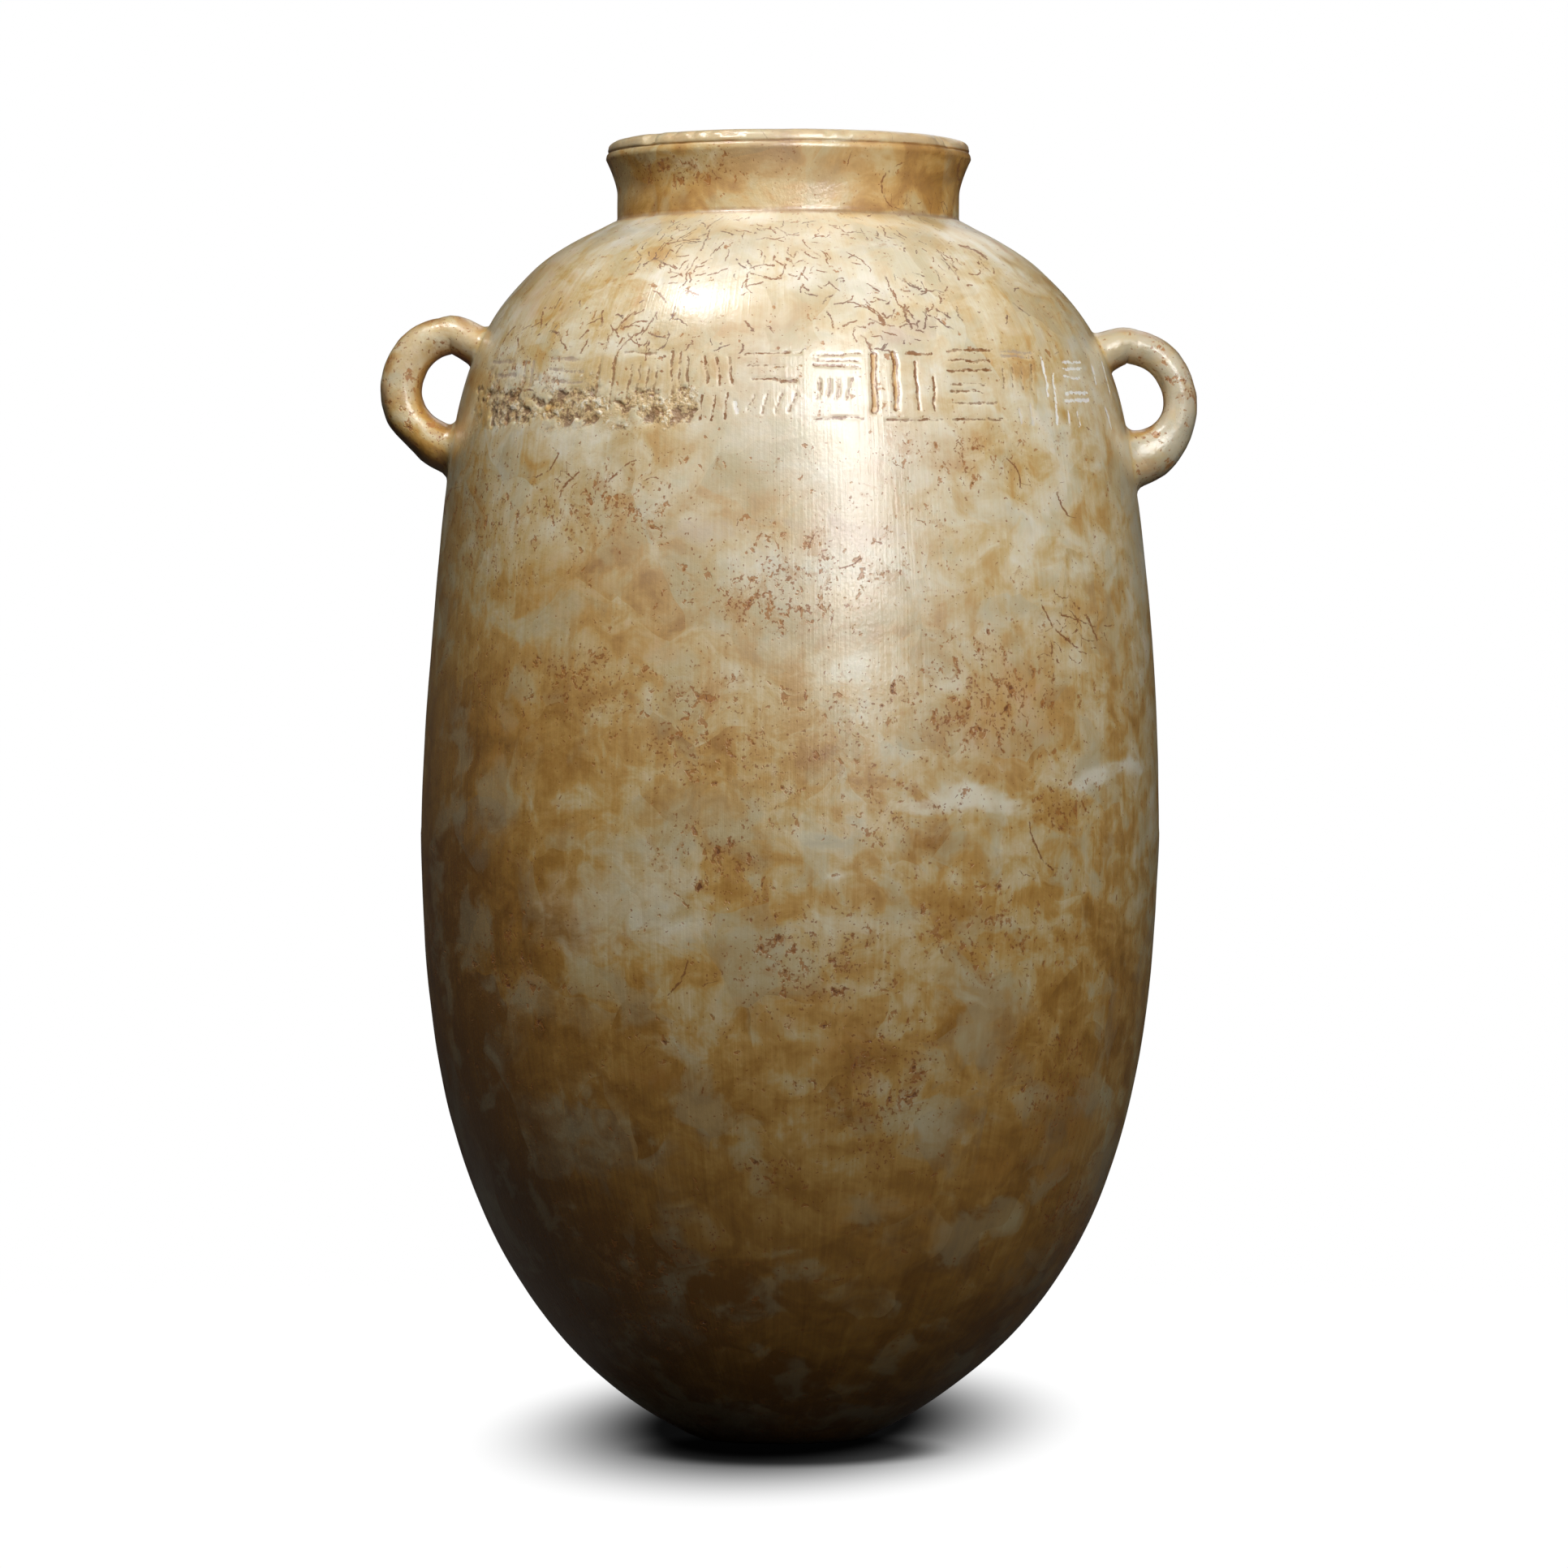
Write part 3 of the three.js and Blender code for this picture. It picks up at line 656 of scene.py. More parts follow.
# only points that truly lie near the seam: where body and handle points are neighbours
deg = np.bincount(ed.ravel(), minlength=count).astype(float)
on_body = np.abs(np.hypot(co[:, 0] - drift(co[:, 2]), co[:, 1]) - body_radius(co[:, 2])) < 0.9
handle_zone = np.zeros(count, bool)
for h in HANDLES:
    handle_zone |= (np.sign(co[:, 0]) == h["side"]) & (np.abs(co[:, 1]) < 24) & (np.abs(co[:, 2] - h["cz"]) < 46)
seam = np.zeros(count)
mixed = on_body[ed[:, 0]] != on_body[ed[:, 1]]
z_ok = handle_zone[ed[:, 0]] & handle_zone[ed[:, 1]]
seam[ed[mixed & z_ok].ravel()] = 1.0
for _ in range(4):
    grow = seam.copy()
    np.maximum.at(grow, ed[:, 0], seam[ed[:, 1]] * 0.8)
    np.maximum.at(grow, ed[:, 1], seam[ed[:, 0]] * 0.8)
    seam = grow
seam = np.where(handle_zone, seam, 0)
for _ in range(14):
    acc = np.zeros_like(co)
    np.add.at(acc, ed[:, 0], co[ed[:, 1]])
    np.add.at(acc, ed[:, 1], co[ed[:, 0]])
    mean = acc / np.maximum(deg, 1)[:, None]
    co = co + (mean - co) * (0.5 * seam)[:, None]
co[:, 0] = np.clip(co[:, 0], -157.55, 157.55)
joined.vertices.foreach_set("co", co.ravel())

# ------------------------------------------------------------------ values that vary by place
F, phi, rad, px, py, front = surface_fields(co)


def liveliness(P, phi):
    """How strongly the stone is clouded: most on the upper front, least low on the left."""
    z = P[:, 2]
    left = np.exp(-((np.angle(np.exp(1j * (phi + 1.15)))) / 0.55) ** 2)
    return 1.18 - 0.55 * left * (1 - sstep(z, 300, 420)) - 0.35 * (1 - sstep(z, 60, 260)) - 0.42 * sstep(np.abs(phi), 1.2, 1.8) * (1 - left)


def slow_tone(P, phi, G, handle, hollow):
    """How pale the stone is, 0 amber to 1 nearly white, before its finer clouds: in beds that lie nearly level, with
    painted shade darkening it low down, on the left and on the handles' undersides, and painted light paling the upper
    front.
    """
    q = np.c_[P[:, 0], P[:, 1], P[:, 2] * 1.6]
    bend = np.c_[fbm(P, 44, 3, 81), fbm(P, 44, 3, 82), fbm(P, 44, 3, 83)] * 26
    z = P[:, 2]
    left = np.exp(-((np.angle(np.exp(1j * (phi + 1.15)))) / 0.62) ** 2)
    lively = liveliness(P, phi)
    t = 0.58 + lively * (0.10 * fbm(q + bend, 80, 2, 84, 0.5) + 0.21 * fbm(q + bend, 30, 5, 85, 0.66))
    t = t + lively * (0.17 * G["pale"] + 0.20 * G["white"] - 0.16 * G["ochre"] - 0.10 * G["rust"])
    # painted shade: darker on the left below the shoulder; also darker in one place low on the right
    t = t - 0.52 * left * (1 - sstep(z, 200, 400)) - 0.22 * np.exp(-((phi - 1.00) / 0.30) ** 2 - ((z - 168) / 42) ** 2)
    # painted shade darker towards the foot, and painted light paler on the upper front
    t = t - 0.20 * (1 - sstep(z, 60, 260)) - 0.36 * (1 - sstep(z, 10, 130)) + 0.11 * sstep(z, 325, 420) * (1 - 0.5 * sstep(np.abs(phi), 0.9, 1.3))
    # the neck: painted shade darker on its right side, and painted light a little paler at the front than at the back
    t = np.where(z > 469, 0.38 - 0.10 * sstep(phi, 0.3, 1.0) + 0.16 * fbm(q + bend, 26, 4, 86, 0.6), t)
    t = t + np.where(z > 469, 0.06 * np.cos(phi), 0)
    loop = loop_side(P)
    # handles: painted shade darker inside the loops and low on their outer side, the left one most
    t = np.where(handle, 0.66 + 0.26 * fbm(P, 13, 4, 87, 0.65) + 0.06 * np.sign(P[:, 0]) - 0.40 * loop - 0.50 * under_loop_shade(P), t)
    return np.where(hollow, 0.5, np.clip(t, 0.02, 0.98))


def pale_front_and_sheen(P, phi):
    """Paler, greyer upper front: partly the stone's paler tone, partly a painted sheen where the lamps' highlights
    fall.
    """
    z = P[:, 2]
    b = np.exp(-((phi - 0.12) / 0.58) ** 2) * sstep(z, 210, 370) * (1 - 0.35 * sstep(z, 462, 472))
    return np.clip(0.50 * b * (0.85 + 0.9 * fbm(P, 45, 3, 89, 0.55)), 0, 1)


def rim_band(P, r, phi):
    """1 on the lip's upright band and its top edge."""
    z = P[:, 2]
    b = sstep(z, 495.0, 496.0) * (0.80 + 0.5 * fbm(P, 12, 3, 88, 0.6))
    return b + 0.25 * sstep(z, 497.5, 499.5)


def loop_side(P):
    """1 on the inner side of a handle's loop."""
    out = np.zeros(len(P))
    for h in HANDLES:
        d = np.hypot((np.abs(P[:, 0]) - h["cx"]) / h["hw"], (P[:, 2] - h["cz"]) / h["hh"])
        out = np.maximum(out, (np.sign(P[:, 0]) == h["side"]) * (1 - sstep(d, 0.62, 0.76)))
    return out


def under_loop_shade(P):
    """1 low on the outer side of the left handle, painted darker there as shade under the loop; a little of it on the
    right one.
    """
    out = np.zeros(len(P))
    for h in HANDLES:
        dx, dz = (np.abs(P[:, 0]) - h["cx"]) / h["hw"], (P[:, 2] - h["cz"]) / h["hh"]
        on = np.sign(P[:, 0]) == h["side"]
        out = np.maximum(out, on * sstep(0.5 * dx - dz, 0.85, 1.45) * (1.0 if h["side"] < 0 else 0.35))
        out = np.maximum(out, on * sstep(np.hypot(dx, dz), 1.16, 1.34) * 0.30)
    return out


def handle_pale_and_sheen(P):
    """The handles are greyish white on their front and back faces, the right one more: partly the stone's own colour,
    partly a painted sheen; on the left one only its upper part, there as a painted highlight.
    """
    face = sstep(np.abs(P[:, 1]), 2.0, 8.0) * (1 - loop_side(P))
    k = np.where(P[:, 0] > 0, 0.60, 0.30 * sstep(P[:, 2], 388, 408)) * (1 - 0.8 * under_loop_shade(P))
    return np.clip(k * face * (0.78 + 0.9 * fbm(P, 11, 3, 93, 0.6) + 0.5 * fbm(P, 2.6, 2, 94, 0.6)), 0, 0.85)


def handle_pits(P):
    return 0.42 + 0.9 * np.clip(fbm(P, 15, 3, 91, 0.6), 0, 1)


def handle_stain_and_shade(P):
    """Brown on the handles: random stains, and more brown under the loops, where they run out on the body, and a little
    inside them, there as painted shade.
    """
    out = np.zeros(len(P))
    for h in HANDLES:
        dx, dz = (np.abs(P[:, 0]) - h["cx"]) / h["hw"], (P[:, 2] - h["cz"]) / h["hh"]
        d = np.hypot(dx, dz)
        inner = 1 - sstep(d, 0.62, 0.95)
        under = sstep(-dz, 0.45, 1.15) * (0.85 if h["side"] < 0 else 0.25)
        on = np.sign(P[:, 0]) == h["side"]
        out = np.maximum(out, on * np.clip(0.12 * inner + under + 0.7 * fbm(P, 13, 3, 92, 0.6), 0, 1))
    return out


deep = body_radius(np.clip(co[:, 2], 1, 468)) - rad          # more than a wall's worth: inside
inside = (deep > 9) & (co[:, 2] < 469) | ((co[:, 2] >= 469) & (rad < 55))
outer = ~inside
G = place_fields(co, phi, px, py, front & outer)
on_handle = (rad > body_radius(np.clip(co[:, 2], 1, 468)) + 1.0) & (co[:, 2] < 440) & (co[:, 2] > 355)
values = {
    "cut_gap": np.where(outer & ~on_handle, F["gap"], 3.0), "cut_brown": F["brown"], "cut_white": F["white"],
    "rough": F["rough"] * outer * ~on_handle, "inside": inside.astype(float), 
    "high": np.clip(0.42 - crumbs(co), -1, 1), "tone": slow_tone(co, phi, G, on_handle, inside),
    "rim": rim_band(co, rad, phi) * outer, "lively": np.where(on_handle, 1.2, liveliness(co, phi)),
    # paler, greyer places: the stone's own paler tone with a painted sheen on the upper front and the handle faces
    "pale_and_sheen": np.where(on_handle, handle_pale_and_sheen(co), pale_front_and_sheen(co, phi) * outer),
    # a darker brown line in the neck's crease, and painted shadow in the groove under the lip band
    "crease_dirt_groove_shade": (np.exp(-((co[:, 2] - 469.2) / 1.5) ** 2) * (rad < 72) + 0.75 * np.exp(-((co[:, 2] - 495.2) / 0.7) ** 2)) * outer,
}
seam_off = 1 - sstep(np.abs(phi), 2.95, 3.05)
in_band = sstep(py, 430, 440) * (1 - sstep(py, 516, 528)) * front
G["crack"] = G["crack"] ** 1.3 * seam_off * ~on_handle * (1 - 0.9 * in_band)
G["pit"] = np.where(on_handle, handle_pits(co), G["pit"] * seam_off)
# on the handles, brown also carries painted shade under and inside the loops
G["brown"] = np.where(on_handle, handle_stain_and_shade(co), G["brown"])
G["grey"] = np.where(on_handle & (co[:, 0] > 0), 0.62 * (1 - loop_side(co)), np.where(on_handle, 0.2, G["grey"]))
values["mark"] = seam_off * outer * ~on_handle * (0.35 + 0.65 * sstep(co[:, 2], 330, 390)) * (1 - 0.9 * in_band)
values["fine"] = 1.0 + 0.75 * (1 - sstep(co[:, 2], 375, 412)) + 0.5 * sstep(co[:, 2], 462, 470)
values["plain"] = np.where(on_handle, 1.0, sstep(co[:, 2], 467, 471))
hair, sure = hair_field(px, py, front & outer & ~on_handle)
values["hair"], values["hair_there"] = hair, sure
for k, v in G.items():
    values["p_" + k] = v * outer
for k, v in values.items():
    at = joined.attributes.new(k, "FLOAT", "POINT")
    at.data.foreach_set("value", v.astype(np.float32))
# a flat map of the turned surface, for tool marks that run up and down it
turn = np.c_[np.sin(phi) * 0.142, -np.cos(phi) * 0.142, co[:, 2] * 0.001]
at = joined.attributes.new("turned", "FLOAT_VECTOR", "POINT")
at.data.foreach_set("vector", turn.astype(np.float32).ravel())
# the skin laid flat: along the girth and up the outline, for marks that lie in the surface
_z = np.linspace(0.5, 468.9, 3000)
_r = body_radius(_z)
_s = np.r_[0, np.cumsum(np.hypot(np.diff(_z), np.diff(_r)))]
along = np.where(co[:, 2] < 468.9, np.interp(co[:, 2], _z, _s), _s[-1] + co[:, 2] - 468.9)
flat = np.c_[phi * 0.118, along * 0.001, np.zeros(len(co))]
at = joined.attributes.new("flat", "FLOAT_VECTOR", "POINT")
at.data.foreach_set("vector", flat.astype(np.float32).ravel())

joined.vertices.foreach_set("co", (co * 0.001).ravel())
joined.update()
joined.validate()
vessel = bpy.data.objects.new("vessel_stone", joined)
bpy.context.scene.collection.objects.link(vessel)
joined.polygons.foreach_set("use_smooth", np.ones(len(joined.polygons), bool))
joined.materials.clear()


# ------------------------------------------------------------------ the stone
def lin(r, g, b):
    f = lambda c: c / 12.92 if c <= 0.04045 else ((c + 0.055) / 1.055) ** 2.4
    return (f(r / 255), f(g / 255), f(b / 255), 1.0)


class Nodes:
    def __init__(self, mat):
        mat.use_nodes = True
        self.t = mat.node_tree
        self.t.nodes.clear()

    def new(self, kind, **k):
        n = self.t.nodes.new(kind)
        for a, v in k.items():
            setattr(n, a, v)
        return n

    def link(self, a, b):
        self.t.links.new(a, b)

    def put(self, sock, v):
        if hasattr(v, "is_output"):
            self.link(v, sock)
        else:
            sock.default_value = v

    def attr(self, name, vec=False):
        n = self.new("ShaderNodeAttribute", attribute_name=name)
        return n.outputs["Vector" if vec else "Fac"]

    def math(self, op, a, b=0.0, clamp=False):
        n = self.new("ShaderNodeMath", operation=op, use_clamp=clamp)
        self.put(n.inputs[0], a)
        self.put(n.inputs[1], b)
        return n.outputs[0]

    def vmath(self, op, a, b=(0, 0, 0)):
        n = self.new("ShaderNodeVectorMath", operation=op)
        self.put(n.inputs[0], a)
        self.put(n.inputs[1], b)
        return n.outputs[0]

    def noise(self, vec, size, detail=4.0, rough=0.5, distort=0.0):
        n = self.new("ShaderNodeTexNoise", noise_dimensions="3D")
        self.put(n.inputs["Vector"], vec)
        n.inputs["Scale"].default_value = 1.0 / size
        n.inputs["Detail"].default_value = detail
        n.inputs["Roughness"].default_value = rough
        n.inputs["Distortion"].default_value = distort
        return n

    def voronoi(self, vec, size, feature="F1", rnd=1.0):
        n = self.new("ShaderNodeTexVoronoi", voronoi_dimensions="3D", feature=feature)
        self.put(n.inputs["Vector"], vec)
        n.inputs["Scale"].default_value = 1.0 / size
        n.inputs["Randomness"].default_value = rnd
        return n

    def step(self, v, a, b):
        """0 at a, 1 at b, smoothly."""
        n = self.new("ShaderNodeMapRange", interpolation_type="SMOOTHSTEP")
        self.put(n.inputs["Value"], v)
        n.inputs["From Min"].default_value = a
        n.inputs["From Max"].default_value = b
        n.inputs["To Min"].default_value = 0.0
        n.inputs["To Max"].default_value = 1.0
        return n.outputs["Result"]

    def mix(self, f, a, b, mode="MIX"):
        n = self.new("ShaderNodeMix", data_type="RGBA", blend_type=mode, clamp_factor=True)
        self.put(n.inputs[0], f)
        self.put(n.inputs[6], a)
        self.put(n.inputs[7], b)
        return n.outputs[2]


def stone_material():
    mat = bpy.data.materials.new("calcite_stone")
    N = Nodes(mat)
    mul = lambda a, b: N.math("MULTIPLY", a, b)
    add = lambda a, b, c=False: N.math("ADD", a, b, c)
    sub = lambda a, b: N.math("SUBTRACT", a, b)
    mx = lambda a, b: N.math("MAXIMUM", a, b)
    obj = N.new("ShaderNodeTexCoord").outputs["Object"]
    turned = N.attr("turned", True)
    flat = N.attr("flat", True)
    ins = N.attr("inside")

    # the slow change from amber to pale, with its painted shade and painted light, comes with the mesh; here it breaks
    # up into clouds, wisps and mottle
    w1 = N.noise(obj, 0.020, 1, 0.5).outputs["Color"]
    warp = N.vmath("ADD", obj, N.vmath("MULTIPLY", N.vmath("SUBTRACT", w1, (0.5, 0.5, 0.5)), (0.020, 0.020, 0.014)))
    mott = N.noise(N.vmath("MULTIPLY", warp, (1.0, 1.0, 1.25)), 0.0135, 6, 0.62, 0.25).outputs["Fac"]
    glass = N.noise(N.vmath("ADD", warp, (3.1, 1.7, 0.4)), 0.027, 4, 0.55).outputs["Fac"]
    sv = N.vmath("MULTIPLY", turned, (1.0, 1.0, 0.07))
    streak = N.noise(sv, 0.0019, 3, 0.62).outputs["Fac"]
    tone = add(N.attr("tone"), mul(mul(sub(N.step(mott, 0.26, 0.74), 0.5), 0.34), N.attr("lively")))
    plain = N.attr("plain")
    tone = add(tone, mul(mul(sub(streak, 0.5), 0.30), sub(1.0, mul(plain, 0.8))))

    # large crystals: faint facets with crisp sides, some glassier, some milkier
    fv = N.vmath("ADD", obj, N.vmath("MULTIPLY", N.vmath("SUBTRACT", w1, (0.5, 0.5, 0.5)), (0.010, 0.010, 0.012)))
    facet = N.voronoi(N.vmath("MULTIPLY", fv, (1.0, 1.0, 0.8)), 0.026)
    fs = N.new("ShaderNodeSeparateColor")
    N.link(facet.outputs["Color"], fs.inputs[0])
    seen_here = N.step(glass, 0.41, 0.57)
    tone = add(tone, mul(mul(sub(fs.outputs[0], 0.5), seen_here), 0.24))

    ramp = N.new("ShaderNodeValToRGB")
    N.link(tone, ramp.inputs[0])
    stops = ((0.0, (144, 98, 40)), (0.26, (184, 135, 63)), (0.42, (206, 161, 88)), (0.53, (214, 184, 124)),
             (0.62, (222, 197, 148)), (0.75, (230, 214, 177)), (1.0, (243, 236, 218)))
    el = ramp.color_ramp.elements
    el[0].position, el[0].color = 0.0, lin(*stops[0][1])
    el[1].position, el[1].color = 1.0, lin(*stops[-1][1])
    for at, c in stops[1:-1]:
        e = el.new(at)
        e.color = lin(*c)
    col = ramp.outputs["Color"]

    # paler, greyer upper front and handle faces: partly the stone's colour, partly painted sheen
    col = N.mix(N.attr("pale_and_sheen"), col, lin(221, 211, 196))

    # glassy grey-green parts, and the placed stains
    col = N.mix(mul(N.step(add(glass, mul(sub(mott, 0.5), 0.35)), 0.53, 0.64), 0.38), col, lin(196, 184, 146))
    col = N.mix(mul(mul(N.step(fs.outputs[1], 0.68, 0.74), seen_here), 0.26), col, lin(184, 172, 140))

    def patch(name, k=1.6, a=0.30, b=0.95):
        at = N.attr("p_" + name)
        return N.step(add(at, mul(mul(sub(mott, 0.5), k), N.step(at, 0.02, 0.3))), a, b)

    col = N.mix(mul(patch("ochre"), 0.52), col, lin(206, 145, 66))
    col = N.mix(mul(patch("pale"), 0.34), col, lin(226, 217, 190))
    col = N.mix(mul(patch("grey"), 0.70), col, lin(186, 176, 146))
    col = N.mix(mul(patch("white", 1.2), 0.85), col, lin(243, 235, 212))
    col = N.mix(mul(patch("rust"), 0.80), col, lin(178, 116, 42))
    col = N.mix(mul(patch("pink"), 0.50), col, lin(190, 150, 122))

    # stains that gather: soft orange-brown haloes, then specks of half a millimetre to three
    pit_at = N.attr("p_pit")
    stain = N.noise(N.vmath("ADD", warp, (2.0, 6.0, 1.0)), 0.0088, 5, 0.72).outputs["Fac"]
    # brown stains; on the handles this also carries painted shade under and inside the loops
    brown = N.step(add(N.attr("p_brown"), mul(sub(stain, 0.5), 3.0)), 0.55, 1.20)
    col = N.mix(mul(brown, 0.42), col, lin(150, 110, 78))
    lift = mul(sub(pit_at, 0.45), 0.11)
    halo = N.step(add(stain, lift), 0.560, 0.635)
    col = N.mix(mul(halo, 0.44), col, lin(190, 143, 84))
    sp1 = N.noise(N.vmath("MULTIPLY", obj, (1.0, 1.0, 0.85)), 0.0040, 3, 0.62, 0.30).outputs["Fac"]
    near = add(lift, mul(sub(stain, 0.5), 0.42))
    sm = N.step(add(sp1, near), 0.622, 0.662)
    col = N.mix(mul(sm, 0.74), col, lin(176, 113, 46))
    dark = N.step(add(sp1, near), 0.705, 0.750)
    sp2 = N.noise(N.vmath("ADD", obj, (4.0, 4.0, 1.0)), 0.0014, 1, 0.6).outputs["Fac"]
    tiny = N.step(add(sp2, mul(near, 1.1)), 0.665, 0.705)
    col = N.mix(mul(tiny, 0.76), col, lin(150, 88, 32))
    col = N.mix(mul(dark, 0.78), col, lin(118, 66, 26))

    # short scratches and root-like marks lying in the skin: one short stroke to a cell, layer on layer
    wob = N.new("ShaderNodeCombineXYZ")
    N.link(mul(sub(stain, 0.5), 0.0070), wob.inputs[0])
    N.link(mul(sub(sp1, 0.5), 0.0030), wob.inputs[1])
    cvec = N.vmath("ADD", flat, wob.outputs[0])
    nib = mul(sub(sp2, 0.5), 0.0016)
    gather = N.attr("p_crack")
    few_at = N.attr("mark")
    fine = N.attr("fine")

    def strokes(size, off, half, thick, few, many):
        """Strokes half*size long each way from a cell's middle; few and many are the chances of one per cell where marks are rare and where they gather."""
        v = N.new("ShaderNodeTexVoronoi", voronoi_dimensions="2D", feature="F1")
        vec = N.vmath("MULTIPLY", N.vmath("ADD", cvec, off), (1 / size, 1 / size, 0))
        N.link(vec, v.inputs["Vector"])
        v.inputs["Scale"].default_value = 1.0
        v.inputs["Randomness"].default_value = 1.0
        c = N.new("ShaderNodeSeparateColor")
        N.link(v.outputs["Color"], c.inputs[0])
        d = N.vmath("SUBTRACT", vec, v.outputs["Position"])
        ang = mul(c.outputs[0], math.pi)
        cx, sx = N.math("COSINE", ang), N.math("SINE", ang)
        xy = N.new("ShaderNodeSeparateXYZ")
        N.link(d, xy.inputs[0])
        u = add(mul(xy.outputs[0], cx), mul(xy.outputs[1], sx))
        w = sub(mul(xy.outputs[1], cx), mul(xy.outputs[0], sx))
        w = add(w, mul(mul(u, u), sub(mul(c.outputs[2], 1.4), 0.7)))
        past = mx(sub(N.math("ABSOLUTE", u), mul(add(c.outputs[1], 0.35), half)), 0.0)
        dist = add(N.math("SQRT", add(mul(w, w), mul(past, past))), mul(nib, 0.5 / size))
        body = N.step(mul(dist, fine), thick / size * 1.25, thick / size * 0.65)
        p = N.new("ShaderNodeTexWhiteNoise", noise_dimensions="3D")
        N.link(v.outputs["Color"], p.inputs["Vector"])
        chance = add(mul(gather, many), mul(few_at, few))
        return mul(body, N.math("LESS_THAN", p.outputs["Value"], chance))

    crack = None
    for k in ((0.0122, (0, 0, 0), 0.48, 0.00037, 0.006, 0.90), (0.0086, (0.9, 0.4, 0), 0.47, 0.00034, 0.008, 0.92),
              (0.0058, (0.2, 1.7, 0), 0.46, 0.00031, 0.010, 0.84), (0.0176, (1.9, 2.3, 0), 0.48, 0.00040, 0.005, 0.78)):
        one = strokes(*k)
        crack = one if crack is None else mx(crack, one)
    crack = mul(crack, add(mul(N.step(sp1, 0.36, 0.50), 0.6), 0.4))
    hair = N.math("ABSOLUTE", add(N.attr("hair"), add(mul(sub(stain, 0.5), 3.2), mul(sub(sp2, 0.5), 0.9))))
    hair = mul(N.step(hair, 0.42, 0.20), mul(N.step(N.attr("hair_there"), 0.30, 0.55), N.step(sp1, 0.38, 0.48)))
    crack = mx(crack, hair)
    tint = N.mix(N.step(mul(fine, glass), 0.46, 0.58), lin(150, 98, 56), lin(124, 88, 70))
    tint = N.mix(N.step(fine, 1.1, 1.6), tint, lin(146, 92, 46))
    col = N.mix(mul(crack, 0.92), col, tint)

    # cut strokes: old ones hold brown with a paler bruise beside them, fresh ones are white all through
    gap = add(N.attr("cut_gap"), mul(sub(sp2, 0.5), 1.2))
    cut = N.step(gap, 0.44, 0.12)
    bruise = N.step(gap, 1.10, 0.50)
    bc, wc = N.attr("cut_brown"), N.attr("cut_white")
    col = N.mix(mul(mul(bruise, bc), 0.16), col, lin(236, 222, 190))
    patchy = add(mul(N.step(sp1, 0.36, 0.55), 0.45), 0.55)
    col = N.mix(mul(mul(cut, bc), patchy), col, N.mix(sp2, lin(108, 66, 28), lin(172, 118, 62)))
    col = N.mix(mul(mul(N.step(gap, -0.30, -0.62), bc), 0.9), col, lin(214, 172, 110))
    col = N.mix(mul(mul(cut, wc), 0.95), col, lin(250, 247, 240))
    # eaten ground: crumbs of white and cream, with brown in the low places between them, partly dirt and partly painted
    # shade
    ro = N.attr("rough")
    crumb = add(mul(sp1, 0.62), mul(sp2, 0.38))
    cr = add(crumb, mul(N.attr("high"), 0.20))
    crumb_col_and_shade = N.mix(N.step(cr, 0.43, 0.52), lin(134, 86, 42), N.mix(N.step(cr, 0.56, 0.67), lin(208, 176, 124), lin(246, 236, 212)))
    col = N.mix(mul(mul(N.step(add(ro, mul(sub(crumb, 0.5), 0.9)), 0.22, 0.75), N.step(ro, 0.02, 0.22)), 0.76), col, crumb_col_and_shade)

    # a darker brown line in the neck's crease, and painted shadow in the groove under the lip band
    crease_groove_shade = N.step(add(N.attr("crease_dirt_groove_shade"), mul(sub(stain, 0.5), 1.6)), 0.25, 1.0)
    col = N.mix(mul(crease_groove_shade, 0.62), col, lin(150, 100, 54))
    # the rim band is greyer and whiter, rubbed bright along its edges
    col = N.mix(mul(N.step(add(N.attr("rim"), mul(sub(mott, 0.5), 1.1)), 0.30, 0.85), 0.46), col, lin(218, 204, 172))
    # the dry inside, dusty and duller
    dust = N.mix(N.step(mott, 0.38, 0.62), lin(186, 162, 122), lin(214, 198, 164))
    col = N.mix(mul(ins, 0.8), col, dust)

    # relief finer than the mesh: tool lines up and down, grain, pits, crumbs
    lines = N.noise(N.vmath("MULTIPLY", turned, (1.0, 1.0, 0.03)), 0.0013, 2, 0.6).outputs["Fac"]
    grain = N.noise(obj, 0.0020, 3, 0.62).outputs["Fac"]
    height = add(mul(mul(lines, 0.11), sub(1.0, mul(plain, 0.8))), mul(grain, add(mul(plain, 0.10), 0.12)))
    height = sub(height, mul(mx(mul(sm, 0.30), dark), 0.34))
    height = add(height, mul(mul(sub(crumb, 0.5), ro), 1.7))
    bump = N.new("ShaderNodeBump")
    bump.inputs["Strength"].default_value = 0.85
    bump.inputs["Distance"].default_value = 0.001
    N.link(height, bump.inputs["Height"])

    rough = add(0.40, mul(sub(mott, 0.5), 0.30))
    rough = add(rough, mul(mx(mx(sm, tiny), crack), 0.30))
    rough = add(rough, mul(mx(ro, mul(cut, mx(bc, wc))), 0.30))
    rough = add(rough, mul(ins, 0.30), True)

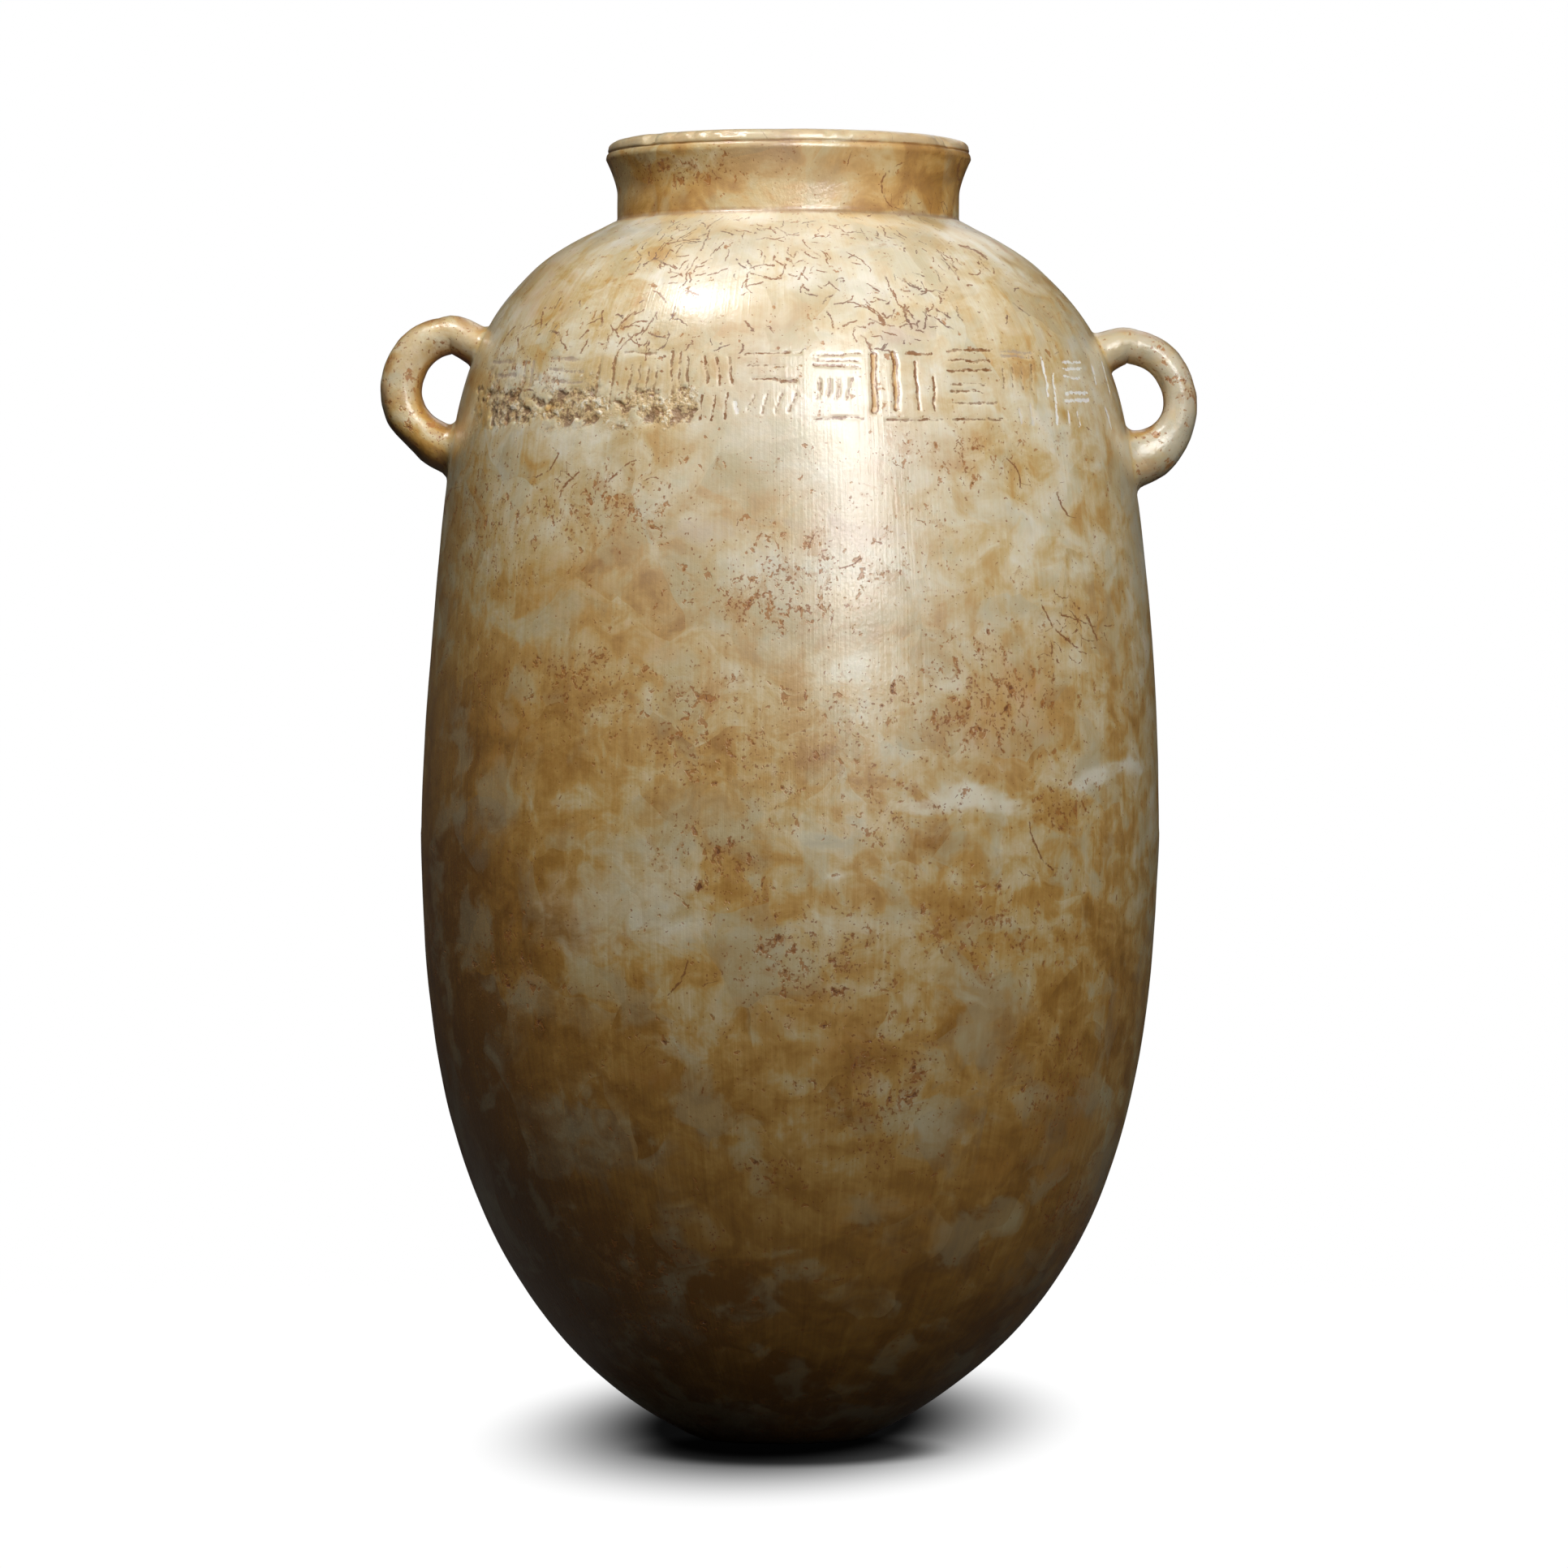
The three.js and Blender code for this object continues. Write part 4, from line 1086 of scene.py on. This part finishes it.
    bsdf = N.new("ShaderNodeBsdfPrincipled")
    N.link(col, bsdf.inputs["Base Color"])
    N.link(rough, bsdf.inputs["Roughness"])
    N.link(bump.outputs["Normal"], bsdf.inputs["Normal"])
    N.link(bump.outputs["Normal"], bsdf.inputs["Coat Normal"])
    bsdf.inputs["IOR"].default_value = 1.50
    bsdf.inputs["Coat Weight"].default_value = 1.0
    bsdf.inputs["Coat Roughness"].default_value = 0.28
    bsdf.inputs["Coat IOR"].default_value = 1.5
    bsdf.inputs["Subsurface Weight"].default_value = 0.12
    bsdf.inputs["Subsurface Radius"].default_value = (1.0, 0.62, 0.32)
    bsdf.inputs["Subsurface Scale"].default_value = 0.004
    out = N.new("ShaderNodeOutputMaterial")
    N.link(bsdf.outputs[0], out.inputs[0])
    for n in list(N.t.nodes):
        if not any(o.is_linked for o in n.outputs) and n.bl_idname != "ShaderNodeOutputMaterial":
            N.t.nodes.remove(n)
    return mat


joined.materials.append(stone_material())
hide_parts("vessel")
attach(vessel, "root")


# ------------------------------------------------------------------ stage, light, camera
def stage_material():
    mat = bpy.data.materials.new("studio_floor")
    N = Nodes(mat)
    at = N.new("ShaderNodeTexCoord").outputs["Object"]
    d = N.new("ShaderNodeVectorMath", operation="LENGTH")
    N.link(at, d.inputs[0])
    seen = N.new("ShaderNodeLightPath").outputs["Is Camera Ray"]

    # one soft pool of shade round the foot, longer front to back and leaning a little aside
    xyz = N.new("ShaderNodeSeparateXYZ")
    N.link(at, xyz.inputs[0])
    x, y = xyz.outputs[0], xyz.outputs[1]
    across = N.math("MULTIPLY", N.math("ADD", N.math("SUBTRACT", x, N.math("MULTIPLY", y, 0.055)), 0.0065), 1 / 0.085)
    along = N.math("MULTIPLY", N.math("SUBTRACT", y, 0.085), 1 / 0.285)
    far = N.math("SQRT", N.math("ADD", N.math("MULTIPLY", across, across), N.math("MULTIPLY", along, along)))
    shade = N.math("ADD", N.math("MULTIPLY", N.step(far, 0.55, 1.47), 0.996), 0.004)
    # a darker painted contact shadow just in front of the foot
    close = N.new("ShaderNodeVectorMath", operation="LENGTH")
    N.link(N.vmath("MULTIPLY", N.vmath("SUBTRACT", at, (0.0, -0.055, 0.0)), (1 / 0.060, 1 / 0.085, 0.0)), close.inputs[0])
    shade = N.math("MULTIPLY", shade, N.math("ADD", N.math("MULTIPLY", N.step(close.outputs["Value"], 0.70, 1.10), 0.8), 0.2))
    # the floor glows for camera rays, with the painted shadow in its colour
    glow = N.new("ShaderNodeEmission")
    N.link(shade, glow.inputs["Color"])
    glow.inputs["Strength"].default_value = 1.02
    dark = N.new("ShaderNodeBsdfDiffuse")
    dark.inputs["Color"].default_value = (0.06, 0.058, 0.055, 1)
    both = N.new("ShaderNodeMixShader")
    N.link(seen, both.inputs[0])
    N.link(dark.outputs[0], both.inputs[1])
    N.link(glow.outputs[0], both.inputs[2])
    clear = N.new("ShaderNodeBsdfTransparent")
    mixs = N.new("ShaderNodeMixShader")
    # clear at its edge, and from underneath
    N.link(N.math("MAXIMUM", N.step(d.outputs["Value"], 0.62, 1.05), N.new("ShaderNodeNewGeometry").outputs["Backfacing"]), mixs.inputs[0])
    N.link(both.outputs[0], mixs.inputs[1])
    N.link(clear.outputs[0], mixs.inputs[2])
    out = N.new("ShaderNodeOutputMaterial")
    N.link(mixs.outputs[0], out.inputs[0])
    return mat


ring_n = 96
fv = [(0, 0, 0)]
ff = []
for k, r in enumerate((0.3, 0.6, 0.85, 1.1)):
    for j in range(ring_n):
        a = 2 * math.pi * j / ring_n
        fv.append((r * math.cos(a), r * math.sin(a), 0))
for j in range(ring_n):
    ff.append((0, 1 + j, 1 + (j + 1) % ring_n))
    for k in range(3):
        a, b = 1 + k * ring_n + j, 1 + k * ring_n + (j + 1) % ring_n
        ff.append((a, a + ring_n, b + ring_n, b))
floor = new_mesh("studio_floor", fv, ff)
floor.location = (0, 0, -0.0002)
floor.data.materials.append(stage_material())

world = bpy.data.worlds.new("studio")
bpy.context.scene.world = world
W = Nodes(world)
seen = W.new("ShaderNodeLightPath").outputs["Is Camera Ray"]
up = W.new("ShaderNodeSeparateXYZ")
W.link(W.new("ShaderNodeTexCoord").outputs["Generated"], up.inputs[0])
sky = W.mix(W.step(up.outputs[2], -0.25, 0.9), (0.014, 0.014, 0.014, 1), (0.085, 0.085, 0.088, 1))
bg = W.new("ShaderNodeBackground")
W.link(W.mix(seen, sky, (1.0, 1.0, 1.0, 1)), bg.inputs["Color"])
wo = W.new("ShaderNodeOutputWorld")
W.link(bg.outputs[0], wo.inputs[0])


def area(name, at, aim, size, power, color=(1, 1, 1), size_y=None):
    data = bpy.data.lights.new(name, "AREA")
    data.energy = power
    data.color = color
    data.shape = "RECTANGLE" if size_y else "DISK"
    data.size = size
    if size_y:
        data.size_y = size_y
    ob = bpy.data.objects.new(name, data)
    ob.location = at
    ob.rotation_euler = (Vector(aim) - Vector(at)).to_track_quat("-Z", "Y").to_euler()
    bpy.context.scene.collection.objects.link(ob)
    return ob


area("over", (-0.50, -0.33, 1.56), (0, 0, 0.44), 0.32, 7.6, (1.0, 1.0, 0.995))
area("back_rim", (0.25, 1.3, 1.2), (0.0, 0.0, 0.40), 0.6, 0.8, (0.97, 0.98, 1.0))


def spot(name, at, aim, power, wide, radius, color=(1, 1, 1), blend=1.0):
    data = bpy.data.lights.new(name, "SPOT")
    data.energy = power
    data.color = color
    data.spot_size = math.radians(wide)
    data.spot_blend = blend
    data.shadow_soft_size = radius
    ob = bpy.data.objects.new(name, data)
    ob.location = at
    ob.rotation_euler = (Vector(aim) - Vector(at)).to_track_quat("-Z", "Y").to_euler()
    bpy.context.scene.collection.objects.link(ob)
    return ob


for name, at, power in (("fill_back", (0.25, 1.75, 0.95), 13.0), ("fill_side", (1.7, 0.9, 0.9), 2.5), ("fill_left", (-1.8, 0.7, 0.8), 0.8)):
    area(name, at, (0, 0, 0.28), 1.3, power, (1.0, 0.995, 0.985)).visible_glossy = False
spot("front_right", (0.56, -1.38, 0.88), (0.02, 0.0, 0.425), 74.0, 26.2, 0.34, (1.0, 0.998, 0.99))
spot("front_key", (0.30, -1.13, 1.12), (0.01, 0.0, 0.412), 47.0, 32.6, 0.26, (1.0, 0.995, 0.985))

cam_data = bpy.data.cameras.new("camera")
cam_data.sensor_fit = "HORIZONTAL"
cam_data.sensor_width = 36.0
cam_data.lens = 191.9
cam_data.clip_start = 0.05
cam = bpy.data.objects.new("camera", cam_data)
cam.location = (-0.00172, -3.225, 0.2522)
cam.rotation_euler = (math.radians(90), 0, 0)
bpy.context.scene.collection.objects.link(cam)
bpy.context.scene.camera = cam

bpy.context.scene.view_settings.view_transform = "Standard"
bpy.context.scene.view_settings.look = "None"
